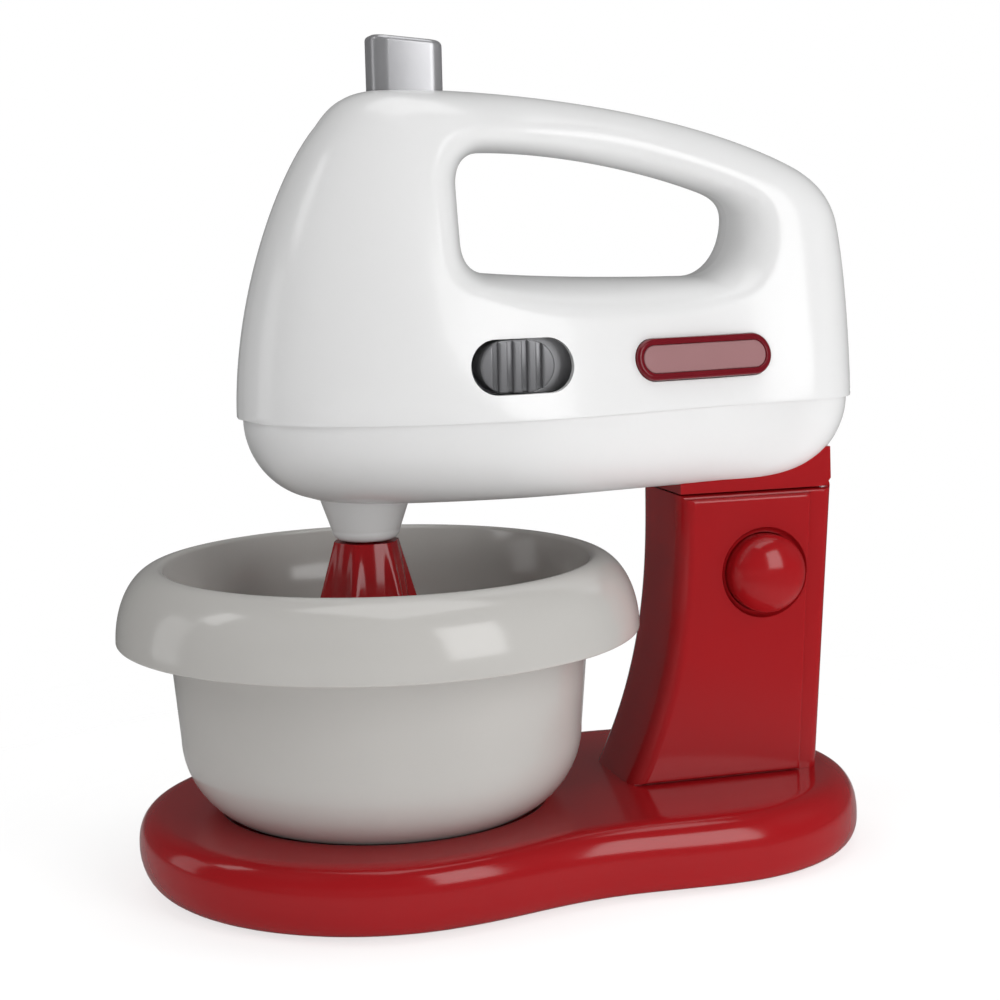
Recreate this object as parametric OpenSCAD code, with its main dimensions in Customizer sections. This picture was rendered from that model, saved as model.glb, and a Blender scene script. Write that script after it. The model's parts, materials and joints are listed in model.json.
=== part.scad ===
// Toy stand mixer: a battery hand mixer that tilts on a stand, over a loose bowl.
// Millimetres, +Z up. The bowl end faces -X, the column stands at +X, and the origin
// is on the table under the middle of the whole object. Places along X are first counted
// from a datum between bowl and column; on_table() then moves every piece to the origin.

/* [Base] */
// Centre of the base's round front end
base_front_x = -40; // [-42:0.5:-38]
// Radius of the base's front end
base_front_r = 68; // [65:0.5:70]
// Centre of the base's round rear end
base_rear_x = 51; // [49:0.5:53]
// Radius of the base's rear end
base_rear_r = 56.5; // [54:0.5:58]
// Height of the base's flat top
base_h = 21; // [20:0.5:22]
// Height of the base's widest line at its middle
base_belly_z = 9.5; // [8:0.5:10]
// How far that line rises to the front end and falls to the rear end
base_slant = 2.4; // [0:0.2:3]
// How far the rounded shoulder runs in from the edge
base_shoulder = 9; // [7:0.5:12]
// How far the waist is drawn in between the two round ends
base_waist = 4.5; // [3:0.5:5.5]
// Wall of the base moulding
base_wall = 2.5; // [2:0.1:3]
// Thickness of the bottom plate
plate_t = 2.5; // [2:0.1:3]
// Radius of the rubber feet
foot_r = 6; // [5:0.5:8]

/* [Column] */
// Height of the column's top
col_top = 106; // [103:0.5:106]
// Front edge of the column at its top
col_front_x = 49.5; // [48:0.5:51]
// How far the front edge sweeps forward at the foot
foot_flare = 16.5; // [12:0.5:18]
// Rear edge of the column at its top
col_rear_x = 98.5; // [97:0.5:99]
// How far the rear edge leans in at the foot
col_rake = 5; // [3:0.5:7]
// Half width of the column without its panels
col_half_w = 16; // [15:0.5:18]
// Wall of the column shells
col_wall = 2.5; // [2:0.1:3]
// Height of the raised side panels
panel_t = 2; // [1.5:0.1:2.5]
// Radius of the hinge pin
hinge_pin_r = 1.5; // [1.2:0.1:2]
// Radius of the hinge knuckles
knuckle_r = 3; // [2.8:0.1:3.6]
// Length of the middle knuckle
knuckle_w = 17.4; // [14:0.2:20]

/* [Release button] */
// Place of the button along X
button_x = 75.4; // [74:0.2:76]
// Height of the button
button_z = 82; // [78:0.5:84]
// Radius of the button's dome
button_r = 11.6; // [10:0.2:12]
// How far the dome stands out of its panel
button_dome = 9; // [8:0.5:10]
// Height of the straight wall under the dome
button_wall = 3.6; // [2:0.2:5]
// Travel of the button
button_travel = 3; // [2:0.5:3.5]

/* [Bowl] */
// Centre of the bowl
bowl_x = -37; // [-38:0.1:-36]
// Outer radius of the flange's lower edge
flange_r = 74.9; // [73:0.1:76]
// Radius of the mouth
mouth_r = 62.4; // [61:0.2:64]
// Outer radius of the body under the flange
bowl_body_r = 60.4; // [58:0.2:61]
// How much narrower the body is where its bottom curve starts
bowl_draft = 2.6; // [1:0.2:4]
// Radius of the curve round the bottom
bowl_curve = 25; // [22:0.5:28]
// Height of the bowl
bowl_h = 74.4; // [70:0.5:76]
// How far the flange hangs down
flange_drop = 20.6; // [18:0.2:24]
// Wall of the bowl
bowl_wall = 2; // [1.6:0.1:2.6]
// Depth of the bowl's seat in the base
seat_depth = 4; // [3:0.5:4.5]

/* [Head] */
// Height of the seam between upper shells and lower cover
seam_z = 133; // [132:0.5:134]
// Front end of the head
nose_x = -75.2; // [-76:0.2:-73]
// Rear end of the head
rear_x = 107.5; // [106.5:0.1:109]
// Top of the head
crown_z = 223.1; // [220:0.5:226]
// Half width of the head at its widest
head_half_w = 45; // [43:0.5:47]
// Half width of the head near its rear end
rear_half_w = 27; // [25:0.5:29]
// Front of the handle opening
grip_front_x = -13.3; // [-15:0.2:-12]
// Rear of the handle opening
grip_rear_x = 71.4; // [69:0.2:73]
// Floor of the handle opening
grip_floor_z = 169; // [168:0.2:171]
// Height of the handle at its front
handle_t = 17.7; // [16:0.2:20]
// Wall of the head's shells
head_wall = 2.2; // [1.8:0.1:2.6]
// Radius of the lower cover's bottom edge
tub_r = 24; // [23:0.5:24]
// How far the upper shells overhang the lower cover
seam_step = 1.2; // [0.6:0.1:1.6]

/* [Drive] */
// Axis of the spindle
spindle_x = -40; // [-41:0.2:-39]
// Gear module
gear_module = 1; // [0.95:0.05:1.05]
// Teeth of the motor pinion
pinion_teeth = 10; // [10:1:10]
// Teeth of the idler's large gear
idler_teeth = 30; // [30:1:30]
// Teeth of the idler's small gear
idler_pinion_teeth = 12; // [12:1:12]
// Teeth of the output gear
output_teeth = 30; // [30:1:30]
// Radius of the nose cone where it leaves the cover
cone_top_r = 12.5; // [11.5:0.1:13.5]
// Radius of the nose cone at its lower end
cone_end_r = 9.6; // [9:0.1:10.5]
// Height of the nose cone
cone_h = 12; // [10:0.5:13]
// Radius of the spindle's journal in the nose cone
journal_r = 5.95; // [5.5:0.05:6.4]
// Radius of the beater's shank
shank_r = 3; // [2.6:0.1:3.2]
// Number of blades on the beater
blade_count = 6; // [5:1:7]
// Largest radius of the beater
beater_r = 20; // [18:0.5:22]
// Height of the beater's lower end above the bowl's floor
beater_gap = 8.5; // [8:0.5:12]

/* [Controls] */
// Centre of the eject button
eject_x = -25; // [-26:0.5:-24]
// Length of the eject button along the head
eject_l = 20.6; // [18:0.2:22]
// Width of the eject button
eject_w = 14; // [12:0.5:15]
// Height of the eject button above the crown
eject_h = 14; // [10:0.5:15]
// Travel of the eject button
eject_travel = 6; // [4:0.5:7]
// Centre of the slider's slot
slot_x = -4.2; // [-6:0.2:-3]
// Height of the slider's slot
slot_z = 147.4; // [146:0.2:149]
// Length of the slot
slot_l = 29.6; // [28.6:0.2:30]
// Height of the slot
slot_h = 14.8; // [13.6:0.2:15]
// Length of the slider's knob
knob_l = 21; // [20:0.2:21.4]
// Free length of the slot in front of the knob at rest
knob_lead = 2.7; // [1:0.1:4]
// Ribs on the slider's knob
knob_ribs = 5; // [4:1:6]
// Centre of the indicator lens
lens_x = 52; // [50:0.1:52.5]
// Height of the indicator lens
lens_z = 147; // [146:0.2:148]
// Length of the lens
lens_l = 45.2; // [43:0.2:45.6]
// Height of the lens
lens_h = 11.8; // [11:0.2:12.2]

/* [Batteries] */
// Radius of a cell
cell_r = 7.1; // [6.9:0.1:7.25]
// Length of a cell
cell_l = 50.5; // [49:0.5:51]

/* [Fits] */
// Gap between pieces that move past each other
gap = 0.3; // [0.25:0.05:0.4]
// Radial clearance of a running shaft
run = 0.05; // [0.03:0.01:0.08]

/* [Hidden] */
$fn = 48;

red = [0.62, 0.07, 0.09];
white = [0.93, 0.93, 0.93];
pale = [0.8, 0.79, 0.77];
silver = [0.68, 0.68, 0.7];
steel = [0.7, 0.72, 0.75];
dark = [0.16, 0.16, 0.17];

// Helpers for curves and lofted shells
function lerp(a, b, t) = a + (b - a) * t;
function clamp(v, a, b) = min(max(v, a), b);
function ease(t) = let (u = clamp(t, 0, 1)) (1 - cos(180 * u)) / 2;
function bez(c, t) = let (u = 1 - t)
    u * u * u * c[0] + 3 * u * u * t * c[1] + 3 * u * t * t * c[2] + t * t * t * c[3];
function bez_run(c, n) = [for (i = [0:n - 1]) bez(c, i / n)];
function bez_swing(c, n) = [for (i = [0:n - 1]) bez(c, ease(i / n))];

// Closed ring from one side's outline, mirrored across the XZ plane; the ends lie on it
function ring_of(side, z) = concat([for (p = side) [p.x, p.y, z]],
    [for (i = [len(side) - 2:-1:1]) [side[i].x, -side[i].y, z]]);

// Solid through a list of rings of equal length. Rings turn anticlockwise seen from the
// side that the list advances to. A wrapped list closes on itself like a torus.
module skin(rings, wrap = false, flip = false) {
    n = len(rings[0]);
    m = len(rings);
    h = n / 2;
    last = (m - 1) * n;
    sides = [for (r = [0:m - (wrap ? 1 : 2)], i = [0:n - 1])
        let (a = r * n, b = ((r + 1) % m) * n, j = (i + 1) % n)
        each [[a + i, b + i, b + j], [a + i, b + j, a + j]]];
    ladder = [for (i = [0:h - 1])
        each (i == 0 ? [[0, 1, n - 1]] : i == h - 1 ? [[h - 1, h, h + 1]]
            : [[i, i + 1, n - i - 1], [i, n - i - 1, n - i]])];
    caps = wrap ? [] : [for (f = ladder) each [f, [last + f[2], last + f[1], last + f[0]]]];
    polyhedron([for (r = rings) each r],
        [for (f = concat(sides, caps)) flip ? [f[2], f[1], f[0]] : f]);
}

// Moves a piece from the datum to the origin under the middle of the whole object
module on_table() { translate([-(bowl_x - flange_r + rear_x) / 2, 0, 0]) children(); }

// Turn a shape so that its +Z points along -Y or +Y
module face_left() { rotate([90, 0, 0]) children(); }
module face_right() { rotate([-90, 0, 0]) children(); }

// Pill outline of full length l and height h
module pill(l, h) {
    square([l - h, h], center = true);
    for (s = [-1, 1]) translate([s * (l - h) / 2, 0]) circle(h / 2);
}

// Rectangle with round corners
module round_box(l, w, r) {
    square([l - 2 * r, w], center = true);
    square([l, w - 2 * r], center = true);
    for (i = [-1, 1], j = [-1, 1]) translate([i * (l / 2 - r), j * (w / 2 - r)]) circle(r);
}

// Pan-head screw with its head below z = 0 and its shank up +Z
module screw(len, shank_r = 1.25, head_r = 2.7, head_h = 1.3) {
    cylinder(h = len, r = shank_r);
    difference() {
        translate([0, 0, -head_h]) cylinder(h = head_h, r = head_r);
        translate([0, 0, -head_h - 0.1]) for (a = [0, 90]) rotate(a)
            translate([-1.5, -0.3, 0]) cube([3, 0.6, 0.8]);
    }
}
screw_r = 1.25;
pilot_r = screw_r + 0.05;
pass_r = 1.7;
boss_r = 4;

// Coil spring along +Z from z = 0 to the given length
module coil(r, wire, len, turns) {
    steps = turns * 8;
    climb = len - 2 * wire;
    skin([for (i = [0:steps]) let (a = 360 * turns * i / steps)
        [for (k = [0:5]) let (b = 60 * k)
            [(r + wire * cos(b)) * cos(a), (r + wire * cos(b)) * sin(a),
                wire + climb * i / steps + wire * sin(b)]]], flip = true);
}

// Base: two round ends joined by their common tangents, which are drawn in to a waist
base_rim_z = 1;
base_tuck = 5.4;
tuck_more = 1.4;
shoulder_more = 1.5;
base_k = 12;
base_phi = acos((base_front_r - base_rear_r) / (base_rear_x - base_front_x));
ceiling_z = base_h - seat_depth - base_wall;
base_inner = base_tuck + base_wall + 0.5;
base_waist_k = 8;
function base_end(x, r, a) = [x + r * cos(a), r * sin(a)];
function base_side(d, more = 0) = let (rear = base_rear_r - d + more, front = base_front_r - d - more)
    concat(
        [for (i = [0:base_k]) let (a = base_phi * i / base_k) base_end(base_rear_x, rear, a)],
        [for (i = [1:base_waist_k - 1]) let (t = i / base_waist_k)
            lerp(base_end(base_rear_x, rear, base_phi), base_end(base_front_x, front, base_phi), t)
                - base_waist * pow(sin(180 * t), 2) * [cos(base_phi), sin(base_phi)]],
        [for (i = [0:base_k]) let (a = lerp(base_phi, 180, i / base_k))
            base_end(base_front_x, front, a)]);
base_mid_x = (base_front_x - base_front_r + base_rear_x + base_rear_r) / 2;
base_half_l = base_rear_x + base_rear_r - base_mid_x;
function base_ring(z, d, slant = 0, more = 0) = [for (p = ring_of(base_side(d, more), z))
    [p.x, p.y, z + slant * (base_mid_x - p.x) / base_half_l]];
plate_screw_at = [for (x = [base_front_x - 30, base_rear_x - 24], s = [-1, 1]) [x, s * 28]];
stand_screw_at = [for (x = [col_front_x + 0.5, col_rear_x - 13], s = [-1, 1]) [x, s * 7]];
seat_r = bowl_body_r - bowl_draft - bowl_curve
    + sqrt(pow(bowl_curve, 2) - pow(bowl_curve - seat_depth, 2)) + 0.5;
plate_z = base_rim_z + 0.6;

module base_shell() color(red) on_table() difference() {
    union() {
        skin(concat(
            [base_ring(ceiling_z, base_inner + 3, 0, tuck_more),
                base_ring(ceiling_z - 3, base_inner, 0, tuck_more),
                base_ring(base_rim_z, base_inner, 0, tuck_more)],
            [for (i = [3:-1:1]) let (a = 30 * i)
                base_ring(lerp(base_belly_z, base_rim_z, sin(a)), base_tuck * (1 - cos(a)),
                    base_slant * (1 - sin(a)), tuck_more * (1 - cos(a)))],
            [for (i = [0:6]) let (a = 15 * i)
                base_ring(lerp(base_belly_z, base_h, sin(a)), base_shoulder * (1 - cos(a)),
                    base_slant * (1 - sin(a)), -shoulder_more * (1 - cos(a)))]));
        for (p = plate_screw_at) translate([p.x, p.y, plate_z + plate_t])
            cylinder(h = ceiling_z - plate_z - plate_t + 0.5, r = boss_r);
    }
    translate([bowl_x, 0, base_h - seat_depth]) cylinder(h = seat_depth + 1, r = seat_r, $fn = 96);
    translate([bowl_x, 0, base_h - 1]) cylinder(h = 1.5, r1 = seat_r - 0.2, r2 = seat_r + 1.3, $fn = 96);
    for (p = plate_screw_at) translate([p.x, p.y, 0]) cylinder(h = ceiling_z - 1, r = pilot_r);
    for (p = stand_screw_at) translate([p.x, p.y, 0]) cylinder(h = base_h + 1, r = pass_r);
}

module base_plate() color(red) on_table() difference() {
    translate([0, 0, plate_z]) linear_extrude(plate_t)
        polygon([for (p = base_ring(0, base_inner + gap, 0, tuck_more)) [p.x, p.y]]);
    for (p = plate_screw_at) translate([p.x, p.y, 0]) cylinder(h = 10, r = pass_r);
    for (p = stand_screw_at) translate([p.x, p.y, 0]) cylinder(h = 10, r = boss_r);
}

foot_at = concat([for (s = [-1, 1]) [base_front_x - 12, s * (base_front_r - 20)]],
    [for (s = [-1, 1]) [base_rear_x + 4, s * (base_rear_r - 16)]]);
module base_feet() color(dark) on_table() for (p = foot_at) translate([p.x, p.y, 0])
    cylinder(h = plate_z, r = foot_r);

module base_screws() color(steel) on_table() for (p = plate_screw_at)
    translate([p.x, p.y, plate_z]) screw(ceiling_z - plate_z - 2);

stand_screw_l = 16;
module stand_screws() color(steel) on_table() for (p = stand_screw_at)
    translate([p.x, p.y, ceiling_z]) screw(stand_screw_l);

// Column: rings in the XZ plane, advancing outwards along -Y
col_steps = 9;
col_inner_w = col_half_w - col_wall;
panel_y = col_half_w + panel_t;
hinge_x = col_rear_x - knuckle_r;
hinge_z = col_top;
ear_y = knuckle_w / 2 + gap;
ear_end = col_half_w - 2.6;
panel_front = 4;
panel_in = 7;
panel_lean = 1;
function col_front(z) = col_front_x - foot_flare * pow((col_top - z) / (col_top - base_h), 2.6);
function col_rear(z) = col_rear_x - col_rake * (col_top - z) / (col_top - base_h);
function col_ring(y, front, rear, top, foot, lean = 0) = let (z0 = base_h + foot, z1 = col_top - top,
    zs = [for (k = [0:col_steps]) lerp(z0, z1, k / col_steps)])
    concat([for (z = zs) [col_rear(z) - rear - lean * (z - base_h) / (col_top - base_h), y, z]],
        [for (k = [col_steps:-1:0]) [col_front(zs[k]) + front, y, zs[k]]]);
column_screw_at = [[col_front_x + 9, base_h + 25], [col_rear_x - 15, base_h + 25]];
tongue_x = col_front_x + 19;
tongue_l = 6;
tongue_w = 6;
tongue_drop = 14;
tongue_sweep = norm([hinge_x - tongue_x, tongue_drop]);

module column_half() difference() {
    union() {
        skin([col_ring(-col_inner_w, col_wall, col_wall, col_wall, col_wall),
            col_ring(0, col_wall, col_wall, col_wall, col_wall),
            col_ring(0, 0, 0, 0, 0),
            col_ring(-col_half_w + 4, 0, 0, 0, 0),
            col_ring(-col_half_w + 1.2, 1.2, 1, 0.3, 0),
            col_ring(-col_half_w, 3.6, 3.4, 0.9, 0),
            col_ring(-col_half_w, panel_front, panel_in, 1.1, 0.4, panel_lean),
            col_ring(-panel_y + 0.7, panel_front, panel_in, 1.1, 0.4, panel_lean),
            col_ring(-panel_y, panel_front + 0.7, panel_in + 0.7, 1.8, 0.8, panel_lean)]);
        translate([hinge_x, -ear_y, hinge_z]) face_left()
            cylinder(h = ear_end - ear_y, r = knuckle_r);
        for (p = stand_screw_at) if (p.y < 0) translate([p.x, p.y, base_h + 1])
            cylinder(h = stand_screw_l - 2, r = boss_r);
        for (p = column_screw_at) translate([p[0], 0, p[1]]) face_left()
            cylinder(h = col_inner_w + 0.5, r = boss_r);
    }
    translate([hinge_x, 1, hinge_z]) face_left() cylinder(h = ear_y + 1, r = knuckle_r + gap);
    translate([hinge_x, 1, hinge_z]) face_left() cylinder(h = ear_end + 1, r = hinge_pin_r + run);
    for (p = stand_screw_at) if (p.y < 0) translate([p.x, p.y, base_h - 1])
        cylinder(h = stand_screw_l - 2, r = pilot_r);
    translate([hinge_x - tongue_sweep - 1, -tongue_w / 2 - gap, col_top - col_wall - 1])
        cube([tongue_sweep + 1 - (hinge_x - tongue_x - tongue_l) + gap, tongue_w, col_wall + 2]);
}

dish_r = button_r + 1.5;
dish_t = 1.6;
module column_left_shell() color(red) on_table() difference() {
    column_half();
    translate([button_x, 0, button_z]) face_left() cylinder(h = panel_y + 1, r = button_r + gap);
    translate([button_x, -panel_y + dish_t, button_z]) face_left() cylinder(h = 5, r = dish_r);
    for (p = column_screw_at) translate([p[0], 1, p[1]]) face_left()
        cylinder(h = col_inner_w - 1, r = pilot_r);
}

guide_r = 6;
stem_r = 3;
column_screw_head_y = 8;
module column_right_shell() color(red) on_table() difference() {
    union() {
        mirror([0, 1, 0]) column_half();
        translate([button_x, -1, button_z]) face_right() cylinder(h = col_inner_w + 1.5, r = guide_r);
    }
    translate([button_x, -2, button_z]) face_right() cylinder(h = 11, r = stem_r + run);
    for (p = column_screw_at) translate([p[0], -1, p[1]]) {
        face_right() cylinder(h = panel_y + 2, r = pass_r);
        translate([0, 1 + column_screw_head_y, 0]) face_right() cylinder(h = panel_y, r = 3);
    }
}

module column_screws() color(steel) on_table() for (p = column_screw_at)
    translate([p[0], column_screw_head_y, p[1]]) face_left()
        screw(column_screw_head_y + col_inner_w - 4);

module hinge_pin() color(steel) on_table() translate([hinge_x, ear_end - gap, hinge_z]) face_left()
    cylinder(h = 2 * (ear_end - gap), r = hinge_pin_r);

// Release button along -Y: dome, skirt, retaining flange, stem and latch finger
button_flange_y = -col_inner_w + gap;
button_flange_t = 1.5;
spring_seat_y = -1;
module release_button() color(red) on_table() union() {
    translate([button_x, 0, button_z]) face_left() rotate_extrude() polygon(concat(
        [[0, -4]], [[stem_r, -4], [stem_r, -button_flange_y - button_flange_t],
            [button_r + 1.6, -button_flange_y - button_flange_t], [button_r + 1.6, -button_flange_y],
            [button_r, -button_flange_y]],
        [for (i = [0:8]) let (a = 90 * i / 8)
            [button_r * cos(a), panel_y - dish_t + lerp(button_wall, button_dome + dish_t, sin(a))]]));
    translate([button_x - 4.4, button_flange_y, button_z + button_r - 2.5])
        cube([4, 6, 3]);
}

module release_spring() color(steel) on_table()
    translate([button_x, spring_seat_y - 0.1, button_z]) face_left()
        coil(stem_r + 1.4, 0.5, -button_flange_y - button_flange_t + spring_seat_y - 0.2, 5);

// Bowl: one revolved wall with a hollow turned-down flange
bowl_z = base_h - seat_depth;
bowl_flat_r = bowl_body_r - bowl_draft - bowl_curve;
flange_z = bowl_z + bowl_h - flange_drop;
function bowl_arc(r, c, z, a0, a1, n) =
    [for (i = [0:n]) let (a = lerp(a0, a1, i / n)) [c + r * cos(a), z + r * sin(a)]];
function flange_arc(d, n) = [for (i = [0:n]) let (a = 90 * i / n)
    [mouth_r + (flange_r - mouth_r - d) * cos(a), flange_z + (flange_drop - d) * sin(a)]];
module bowl() color(pale) on_table() translate([bowl_x, 0, 0]) rotate_extrude($fn = 96) polygon(concat(
    [[0, bowl_z]],
    bowl_arc(bowl_curve, bowl_flat_r, bowl_z + bowl_curve, -90, 0, 8),
    [[bowl_body_r, flange_z + 3]],
    [for (i = [6:-1:0]) let (p = flange_arc(bowl_wall, 8)[i]) [p[0], p[1]]],
    flange_arc(0, 10),
    [[mouth_r - 1.2, bowl_z + bowl_h - 0.8],
        [bowl_body_r - bowl_wall, flange_z + 3]],
    bowl_arc(bowl_curve - bowl_wall, bowl_flat_r, bowl_z + bowl_curve, 0, -90, 8),
    [[0, bowl_z + bowl_wall]]));

// Head outline in the XZ plane: a loop round the handle opening and the outer loop.
// Below the seam the outer loop runs on as a bowl-shaped curve, so that the surface
// reaches the seam at full width.
seam_count = 22;
head_outer = concat(
    bez_swing([[rear_x, seam_z], [rear_x, seam_z - 84], [nose_x, seam_z - 84], [nose_x, seam_z]],
        seam_count),
    bez_run([[nose_x, seam_z], [nose_x, seam_z + 32], [nose_x + 13, crown_z - 23],
        [nose_x + 25, crown_z - 9.6]], 9),
    bez_run([[nose_x + 25, crown_z - 9.6], [nose_x + 29, crown_z - 4], [nose_x + 33, crown_z],
        [nose_x + 45, crown_z]], 3),
    bez_run([[nose_x + 45, crown_z], [nose_x + 85, crown_z], [rear_x - 46, crown_z - 7.6],
        [rear_x - 16.4, crown_z - 23]], 11),
    bez_run([[rear_x - 16.4, crown_z - 23], [rear_x - 9.5, crown_z - 26.6], [rear_x - 4.6, crown_z - 32],
        [rear_x - 3, crown_z - 39]], 3),
    bez_run([[rear_x - 3, crown_z - 39], [rear_x - 0.9, crown_z - 50], [rear_x, seam_z + 22],
        [rear_x, seam_z]], 6));
grip_top_z = crown_z - handle_t;
head_inner = concat(
    bez_run([[grip_rear_x - 13, grip_floor_z], [grip_rear_x - 33, grip_floor_z],
        [grip_front_x + 27, grip_floor_z + 0.8], [grip_front_x + 9, grip_floor_z + 2.6]], seam_count),
    bez_run([[grip_front_x + 9, grip_floor_z + 2.6], [grip_front_x + 3, grip_floor_z + 3.2],
        [grip_front_x, grip_floor_z + 6], [grip_front_x, grip_floor_z + 12]], 4),
    bez_run([[grip_front_x, grip_floor_z + 12], [grip_front_x, grip_floor_z + 16],
        [grip_front_x, grip_top_z - 14], [grip_front_x, grip_top_z - 10]], 3),
    bez_run([[grip_front_x, grip_top_z - 10], [grip_front_x, grip_top_z - 3],
        [grip_front_x + 4, grip_top_z], [grip_front_x + 10, grip_top_z]], 5),
    bez_run([[grip_front_x + 10, grip_top_z], [grip_front_x + 31, grip_top_z],
        [grip_rear_x - 27, grip_top_z - 5.4], [grip_rear_x - 7.5, grip_top_z - 12.4]], 11),
    bez_run([[grip_rear_x - 7.5, grip_top_z - 12.4], [grip_rear_x - 2.2, grip_top_z - 14.3],
        [grip_rear_x, grip_top_z - 16.6], [grip_rear_x, grip_top_z - 21]], 4),
    bez_run([[grip_rear_x, grip_top_z - 21], [grip_rear_x, grip_floor_z + 6.2],
        [grip_rear_x - 5.4, grip_floor_z], [grip_rear_x - 13, grip_floor_z]], 5));
head_n = len(head_outer);

// Half width of the head: widest plan, drawn in towards the crown, rounded at both loops
wide_x = nose_x + 63;
narrow_x = rear_x - 24.4;
function round_in(d, r) = pow(1 - pow(1 - clamp(d / r, 0, 1), 2.2), 1 / 2.2);
function plan_w(x) = lerp(head_half_w, rear_half_w, ease((x - wide_x) / (narrow_x - wide_x)));
function draw_in(x, z) = 1 - lerp(0.62, 0.76, ease((x - grip_front_x + 8) / 30))
    * pow(clamp((z - seam_z) / (crown_z - seam_z), 0, 1), 1.3);
function edge_r(x, z) = lerp(lerp(75, 30, ease((x - nose_x - 35) / 120)), 11,
    pow(clamp((z - seam_z) / (crown_z - seam_z), 0, 1), 1.2));
grip_edge_r = 12;
function head_span(i) = head_outer[i][1] >= seam_z ? 1
    : (head_inner[i][1] - seam_z) / (head_inner[i][1] - head_outer[i][1]);
function head_point(i, s, t = 0) = let (a = head_inner[i], b = head_outer[i], l = norm(b - a),
    p = lerp(a, b, s))
    [p.x, -(plan_w(p.x) * draw_in(p.x, p.y) - t) * round_in((1 - s) * l - t, edge_r(p.x, p.y))
        * round_in(s * l - t, grip_edge_r), p.y];
skin_out = [0, 0.03, 0.09, 0.2, 0.38, 0.58, 0.76, 0.89, 0.97, 1];
skin_in = [0, 0.12, 0.35, 0.65, 0.9, 1];
function head_out_ring(f) = [for (i = [0:head_n - 1]) head_point(i, f * head_span(i))];
function head_in_ring(f) = [for (i = [0:head_n - 1])
    let (w = head_wall / norm(head_outer[i] - head_inner[i]), s = head_span(i))
    head_point(i, lerp(s == 1 ? 1 - w : s, w, f), head_wall)];
module head_half() skin(concat([for (f = skin_out) head_out_ring(f)],
    [for (f = skin_in) head_in_ring(f)]), wrap = true);

eject_corner = 4.5;
module eject_hole() translate([eject_x, 0, crown_z - 18]) linear_extrude(30)
    round_box(eject_l + 2 * gap, eject_w + 2 * gap, eject_corner + gap);

// Pose of the flat lens on the side of the head
lens_turn = 13;
lens_lean = 12;
lens_y = -plan_w(lens_x) * draw_in(lens_x, lens_z) - 0.6;
module on_lens_face() translate([lens_x, lens_y, lens_z]) rotate([-lens_lean, 0, lens_turn])
    face_left() children();
board_y = -21;
board_t = 1.6;
module head_left_shell() color(white) on_table() difference() {
    head_half();
    eject_hole();
    translate([slot_x, -20, slot_z]) face_left() linear_extrude(40) pill(slot_l, slot_h);
    on_lens_face() translate([0, 0, -8]) linear_extrude(16) pill(lens_l + 0.4, lens_h + 0.4);
}

module head_right_shell() color(white) on_table() difference() {
    mirror([0, 1, 0]) head_half();
    eject_hole();
}

// Lower cover: the seam's outline carried down round a large edge radius
tub_wall = 2.4;
tub_z = seam_z - tub_r;
tub_floor = tub_z + tub_wall;
seam_side = [for (i = [0:seam_count]) let (p = head_point(i, head_span(i)))
    [p.x, (i == 0 || i == seam_count) ? 0 : -p.y]];
head_mid = (nose_x + rear_x) / 2;
head_half_l = (rear_x - nose_x) / 2;
function tub_side(d) = [for (p = seam_side) [lerp(head_mid, p.x, 1 - d / head_half_l),
    p.y * (1 - d / head_half_w)]];
function tub_ring(a, t) = ring_of(tub_side(seam_step + t + (tub_r - t) * (1 - cos(a))),
    seam_z - (tub_r - t) * sin(a));
tub_angles = [90, 72, 54, 38, 22, 9, 0];

bay_front_x = spindle_x + 24.8;
bay_cell_x = bay_front_x + 6.5;
bay_rear_x = bay_cell_x + cell_l + 1.4;
cell_y = cell_r + 0.3;
bay_half_w = cell_y + cell_r + 0.2;
post_at = [for (x = [spindle_x + 7, spindle_x + 51], s = [-1, 1]) [x, s * 20.6]];
cradle_screw_at = [col_front_x + 11.5, rear_x - 29];

gear_z = tub_floor + 10.6;
gear_t = 6;
big_gear_z = gear_z + gear_t + 1;
big_gear_t = 4;
gear_plate_z = big_gear_z + big_gear_t + 2;
gear_plate_t = 2.5;
idler_x = spindle_x + gear_module * (output_teeth + idler_pinion_teeth) / 2;
motor_x = idler_x + gear_module * (idler_teeth + pinion_teeth) / 2;
axle_r = 1.5;
axle_boss_r = 3;
bore_r = journal_r + run;
cone_z = tub_z - cone_h;

module nose_cone() translate([spindle_x, 0, 0]) rotate_extrude() polygon([[0, tub_z + 1],
    [cone_top_r, tub_z + 1], [cone_top_r, tub_z - 0.4], [cone_end_r + 0.5, cone_z + 3],
    [cone_end_r - 0.2, cone_z + 1.2], [cone_end_r - 1.4, cone_z + 0.2], [cone_end_r - 2.4, cone_z],
    [0, cone_z]]);

module head_lower_cover() color(white) on_table() difference() {
    union() {
        skin(concat([for (a = tub_angles) tub_ring(a, 0)],
            [for (i = [len(tub_angles) - 1:-1:0]) tub_ring(tub_angles[i], tub_wall)]));
        nose_cone();
        translate([spindle_x, 0, tub_floor - 0.5]) cylinder(h = gear_z - tub_floor + 0.3, r = journal_r + 3);
        translate([idler_x, 0, tub_floor - 0.5]) cylinder(h = 9, r = axle_boss_r);
        for (p = post_at) translate([p.x, p.y, tub_floor - 0.5])
            cylinder(h = gear_plate_z - tub_floor + 0.5, r = boss_r);
    }
    translate([spindle_x, 0, cone_z - 1]) cylinder(h = 60, r = bore_r);
    translate([idler_x, 0, tub_floor]) cylinder(h = 20, r = axle_r + 0.02);
    for (p = post_at) translate([p.x, p.y, gear_plate_z - 12]) cylinder(h = 20, r = pilot_r);
    for (x = cradle_screw_at) translate([x, 0, tub_z - 1]) cylinder(h = 10, r = pass_r);
    translate([bay_front_x, -bay_half_w, tub_z - 1])
        cube([bay_rear_x - bay_front_x, 2 * bay_half_w, tub_wall + 2]);
}

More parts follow.
